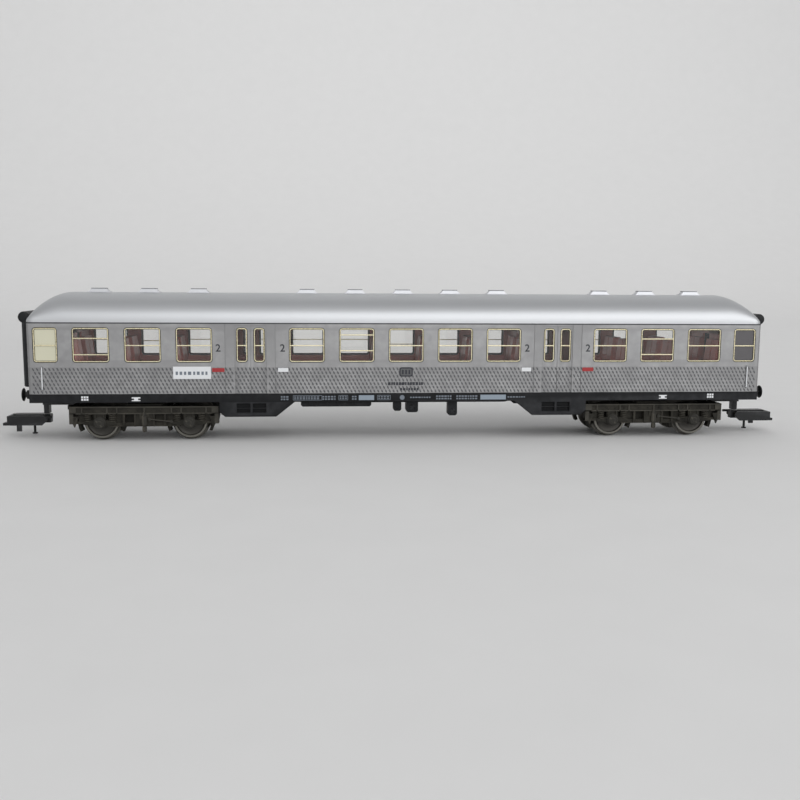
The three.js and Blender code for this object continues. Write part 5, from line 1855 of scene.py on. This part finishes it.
for end in ENDS:
    spots = [
        bogie_point(end, axle + offset, side * 12.3, AXLE_HEIGHT + 0.45)
        for axle in (-AXLE_X, AXLE_X)
        for offset in (-SPRING_X, SPRING_X)
        for side in (-1, 1)
    ]
    springs = soften(grow(f"coil_springs_{end}", spring_tree, bogie_black, spots), 0, angle=60)
    deliver(springs, f"bogie_{end}", "bogie_plastic")

# %% Bolt heads
BOLT = {"Radius": 0.32, "Height": 0.3, "Facing": 1.0}


def build_bolt_tree():
    tree, given = geometry_tree("Bolt heads", BOLT)
    head = add(
        tree,
        "GeometryNodeMeshCylinder",
        {"Vertices": 6, "Radius": given["Radius"], "Depth": given["Height"]},
    )
    tilt = vector(tree, x=math_node(tree, "MULTIPLY", given["Facing"], math.pi / 2))
    copies = add(
        tree,
        "GeometryNodeInstanceOnPoints",
        {"Points": given["Points"], "Instance": head.outputs[0], "Rotation": tilt},
    )
    return close_tree(tree, given, copies.outputs[0])


bolt_tree = build_bolt_tree()
for end in ENDS:
    spots = [
        bogie_point(end, x, side * (FRAME_OUT - 0.42), FRAME_TOP - 1.35)
        for x in (-22.3, -16.2, -13.2, -10.2, -5.2, -2.0, 2.0, 5.2, 10.2, 13.2, 16.2, 22.3)
        for side in (-1, 1)
    ]
    bolts = soften(grow(f"frame_bolts_{end}", bolt_tree, bogie_black, spots), 0.03)
    deliver(bolts, f"bogie_{end}", "bogie_plastic")

# %% [markdown]
# ## Wheelsets
# The wheels are blackened discs with a bright running ring, and the two finishes are told apart
# by the distance from the axle. Turning the profile gives the tread, the flange, the dished web
# and the hub in one go, and the axle is a steel pin with pointed ends.

# %% Wheels and axles
TREAD, FLANGE = 5.5, AXLE_HEIGHT


def make_wheelset(end, place):
    body = f"wheelset_{end}_{place}"
    x = sum(corners(f"axle_{end}_{place}")[i].x for i in (0, 1)) / 2
    for label, side in (("near", -1), ("far", 1)):
        low, high = corners(f"wheel_{end}_{place}_{label}")
        inner, outer = sorted((abs(low.y), abs(high.y)))
        profile = [
            (1.1, inner), (FLANGE - 0.35, inner), (FLANGE - 0.06, inner + 0.14),
            (FLANGE, inner + 0.38), (FLANGE - 0.2, inner + 0.62), (TREAD + 0.12, inner + 0.86),
            (TREAD, inner + 1.1), (TREAD - 0.06, outer - 0.15), (TREAD - 0.2, outer),
            (TREAD - 0.75, outer), (TREAD - 0.9, outer - 0.12), (TREAD - 0.98, outer - 0.62),
            (3.6, outer - 0.9), (2.3, outer - 0.72), (1.9, outer - 0.4), (1.8, outer),
            (1.1, outer), (1.1, inner),
        ]
        bm = bmesh.new()
        lathe(bm, [(r, side * a) for r, a in profile], (x, 0, AXLE_HEIGHT), "y", 72)
        bmesh.ops.remove_doubles(bm, verts=bm.verts, dist=0.0005)
        wheel = new_piece(f"wheel_{end}_{place}_{label}_turned", bm, wheel_black)
        soften(wheel, 0, angle=28)
        wheel.data.materials.append(tread_steel)
        for face in wheel.data.polygons:
            spot = face.center
            radius = math.hypot(spot.x - x, spot.z - AXLE_HEIGHT)
            if radius > TREAD - 0.78:
                face.material_index = 1
        deliver(wheel, body, "blackened_wheel", f"wheel_{end}_{place}_{label}")
    reach = corners(f"axle_{end}_{place}")[1].y
    pin = [
        (0, -reach), (0.9, -reach + 1.2), (1.0, -reach + 1.3), (1.0, -7.3), (1.12, -7.2),
        (1.12, 7.2), (1.0, 7.3), (1.0, reach - 1.3), (0.9, reach - 1.2), (0, reach),
    ]
    bm = bmesh.new()
    lathe(bm, pin, (x, 0, AXLE_HEIGHT), "y", 32)
    axle = soften(new_piece(f"axle_{end}_{place}_pin", bm, axle_steel), 0)
    return deliver(axle, body, "bright_steel", f"axle_{end}_{place}")


for end in ENDS:
    for place in ("outer", "inner"):
        make_wheelset(end, place)

# %% [markdown]
# ## Couplings and the last fixings
# The coupling arm, head and loop keep the frame's shapes, welded and rounded. The pivot screws
# are turned again with a slot cut in the head, because a plain disc would not read as a screw.

# %% Couplings
for end in ENDS:
    for part, body in (("arm", "coupler"), ("head", "coupler"), ("loop", "loop")):
        node = f"coupler_{part}_{end}"
        piece = refine(node, f"coupling_{part}_{end}", coupling_black, 0.12)
        deliver(piece, f"{body}_{end}", "black_plastic", node)

# %% Pivot screws
def make_screw(end):
    low, high = corners("pivot_screw_right")
    x = (low.x + high.x) / 2
    bm = bmesh.new()
    head = low.z + 1.1
    profile = [
        (0, low.z + 0.1), (1.7, low.z), (2.2, low.z + 0.35), (2.3, low.z + 0.8), (2.3, head),
        (1.2, head), (1.2, high.z), (0, high.z),
    ]
    lathe(bm, profile, (x, 0, 0), "z", 36)
    screw = new_piece(f"pivot_screw_{end}_turned", bm, screw_steel)
    slot = bmesh.new()
    block(slot, x - 3, x + 3, -0.3, 0.3, low.z - 1, low.z + 0.55)
    cut(screw, slot)
    screw.data.transform(end_turn(end))
    return deliver(soften(screw, 0.04), "coach", "bright_steel", f"pivot_screw_{end}")


for end in ENDS:
    make_screw(end)

# %% [markdown]
# ## Floor and light
# The coach stands on a pale sweep that curves up behind it, so that no horizon shows. One broad
# lamp stands in front like a window, which is what lays the bright band along the shoulder of
# the roof. A second lamp lights only the paper behind. The world adds a soft grey everywhere,
# brighter toward the front, and its darker half is what the top of the roof mirrors.

# %% Sweep
SWEEP_FRONT, SWEEP_BACK, SWEEP_RADIUS, SWEEP_TOP, SWEEP_HALF = -9.0, 1.4, 0.6, 3.5, 9.0


def make_sweep():
    bm = bmesh.new()
    line = [(SWEEP_FRONT, 0.0), (SWEEP_BACK - SWEEP_RADIUS, 0.0)]
    for k in range(1, 17):
        angle = math.pi / 2 * k / 16
        y = SWEEP_BACK - SWEEP_RADIUS + SWEEP_RADIUS * math.sin(angle)
        line.append((y, SWEEP_RADIUS - SWEEP_RADIUS * math.cos(angle)))
    line.append((SWEEP_BACK, SWEEP_TOP))
    rows = [[bm.verts.new((x, y, z)) for y, z in line] for x in (-SWEEP_HALF, SWEEP_HALF)]
    for i in range(len(line) - 1):
        bm.faces.new((rows[0][i], rows[1][i], rows[1][i + 1], rows[0][i + 1]))
    sweep_white = finish(
        "paper sweep", linear(228, 228, 228), 0.8, grain=60, vary=0.02, relief=0.0
    )
    sweep = soften(new_piece("paper_sweep", bm, sweep_white), 0, angle=40)
    return sweep


make_sweep()

# %% Lamps
def make_lamp(name, place, aim, size, power, colour=(1, 1, 1)):
    data = bpy.data.lights.new(name, "AREA")
    data.shape = "RECTANGLE"
    data.size, data.size_y = size
    data.energy = power
    data.color = colour
    lamp = bpy.data.objects.new(name, data)
    lamp.location = place
    turn = (Vector(aim) - Vector(place)).to_track_quat("-Z", "Y")
    lamp.rotation_euler = turn.to_euler()
    bpy.context.scene.collection.objects.link(lamp)
    return lamp


make_lamp("window_lamp", (0.5, -0.85, 0.52), (0.1, 0, 0.02), (1.8, 1.0), 7.2)
make_lamp("paper_lamp", (0.0, 0.45, 1.25), (0.0, 1.4, 0.92), (1.8, 0.5), 3.6)
world = bpy.data.worlds.new("studio")
bpy.context.scene.world = world
world.use_nodes = True
room = world.node_tree.nodes["Background"]
direction = add(world.node_tree, "ShaderNodeTexCoord").outputs["Generated"]
across = add(world.node_tree, "ShaderNodeSeparateXYZ", {0: direction}).outputs["Y"]
strength = add(
    world.node_tree, "ShaderNodeMapRange", {0: across, 1: -1.0, 2: 0.2, 3: 0.78, 4: 0.40}
)
world.node_tree.links.new(strength.outputs[0], room.inputs["Strength"])
room.inputs["Color"].default_value = (1, 1, 1, 1)
bpy.context.scene.view_settings.view_transform = "Standard"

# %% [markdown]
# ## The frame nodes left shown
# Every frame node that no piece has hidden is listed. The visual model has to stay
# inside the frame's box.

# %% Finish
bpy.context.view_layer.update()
left_over = [name for name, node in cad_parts.items() if not node.hide_render]
print("frame nodes still shown:", left_over)
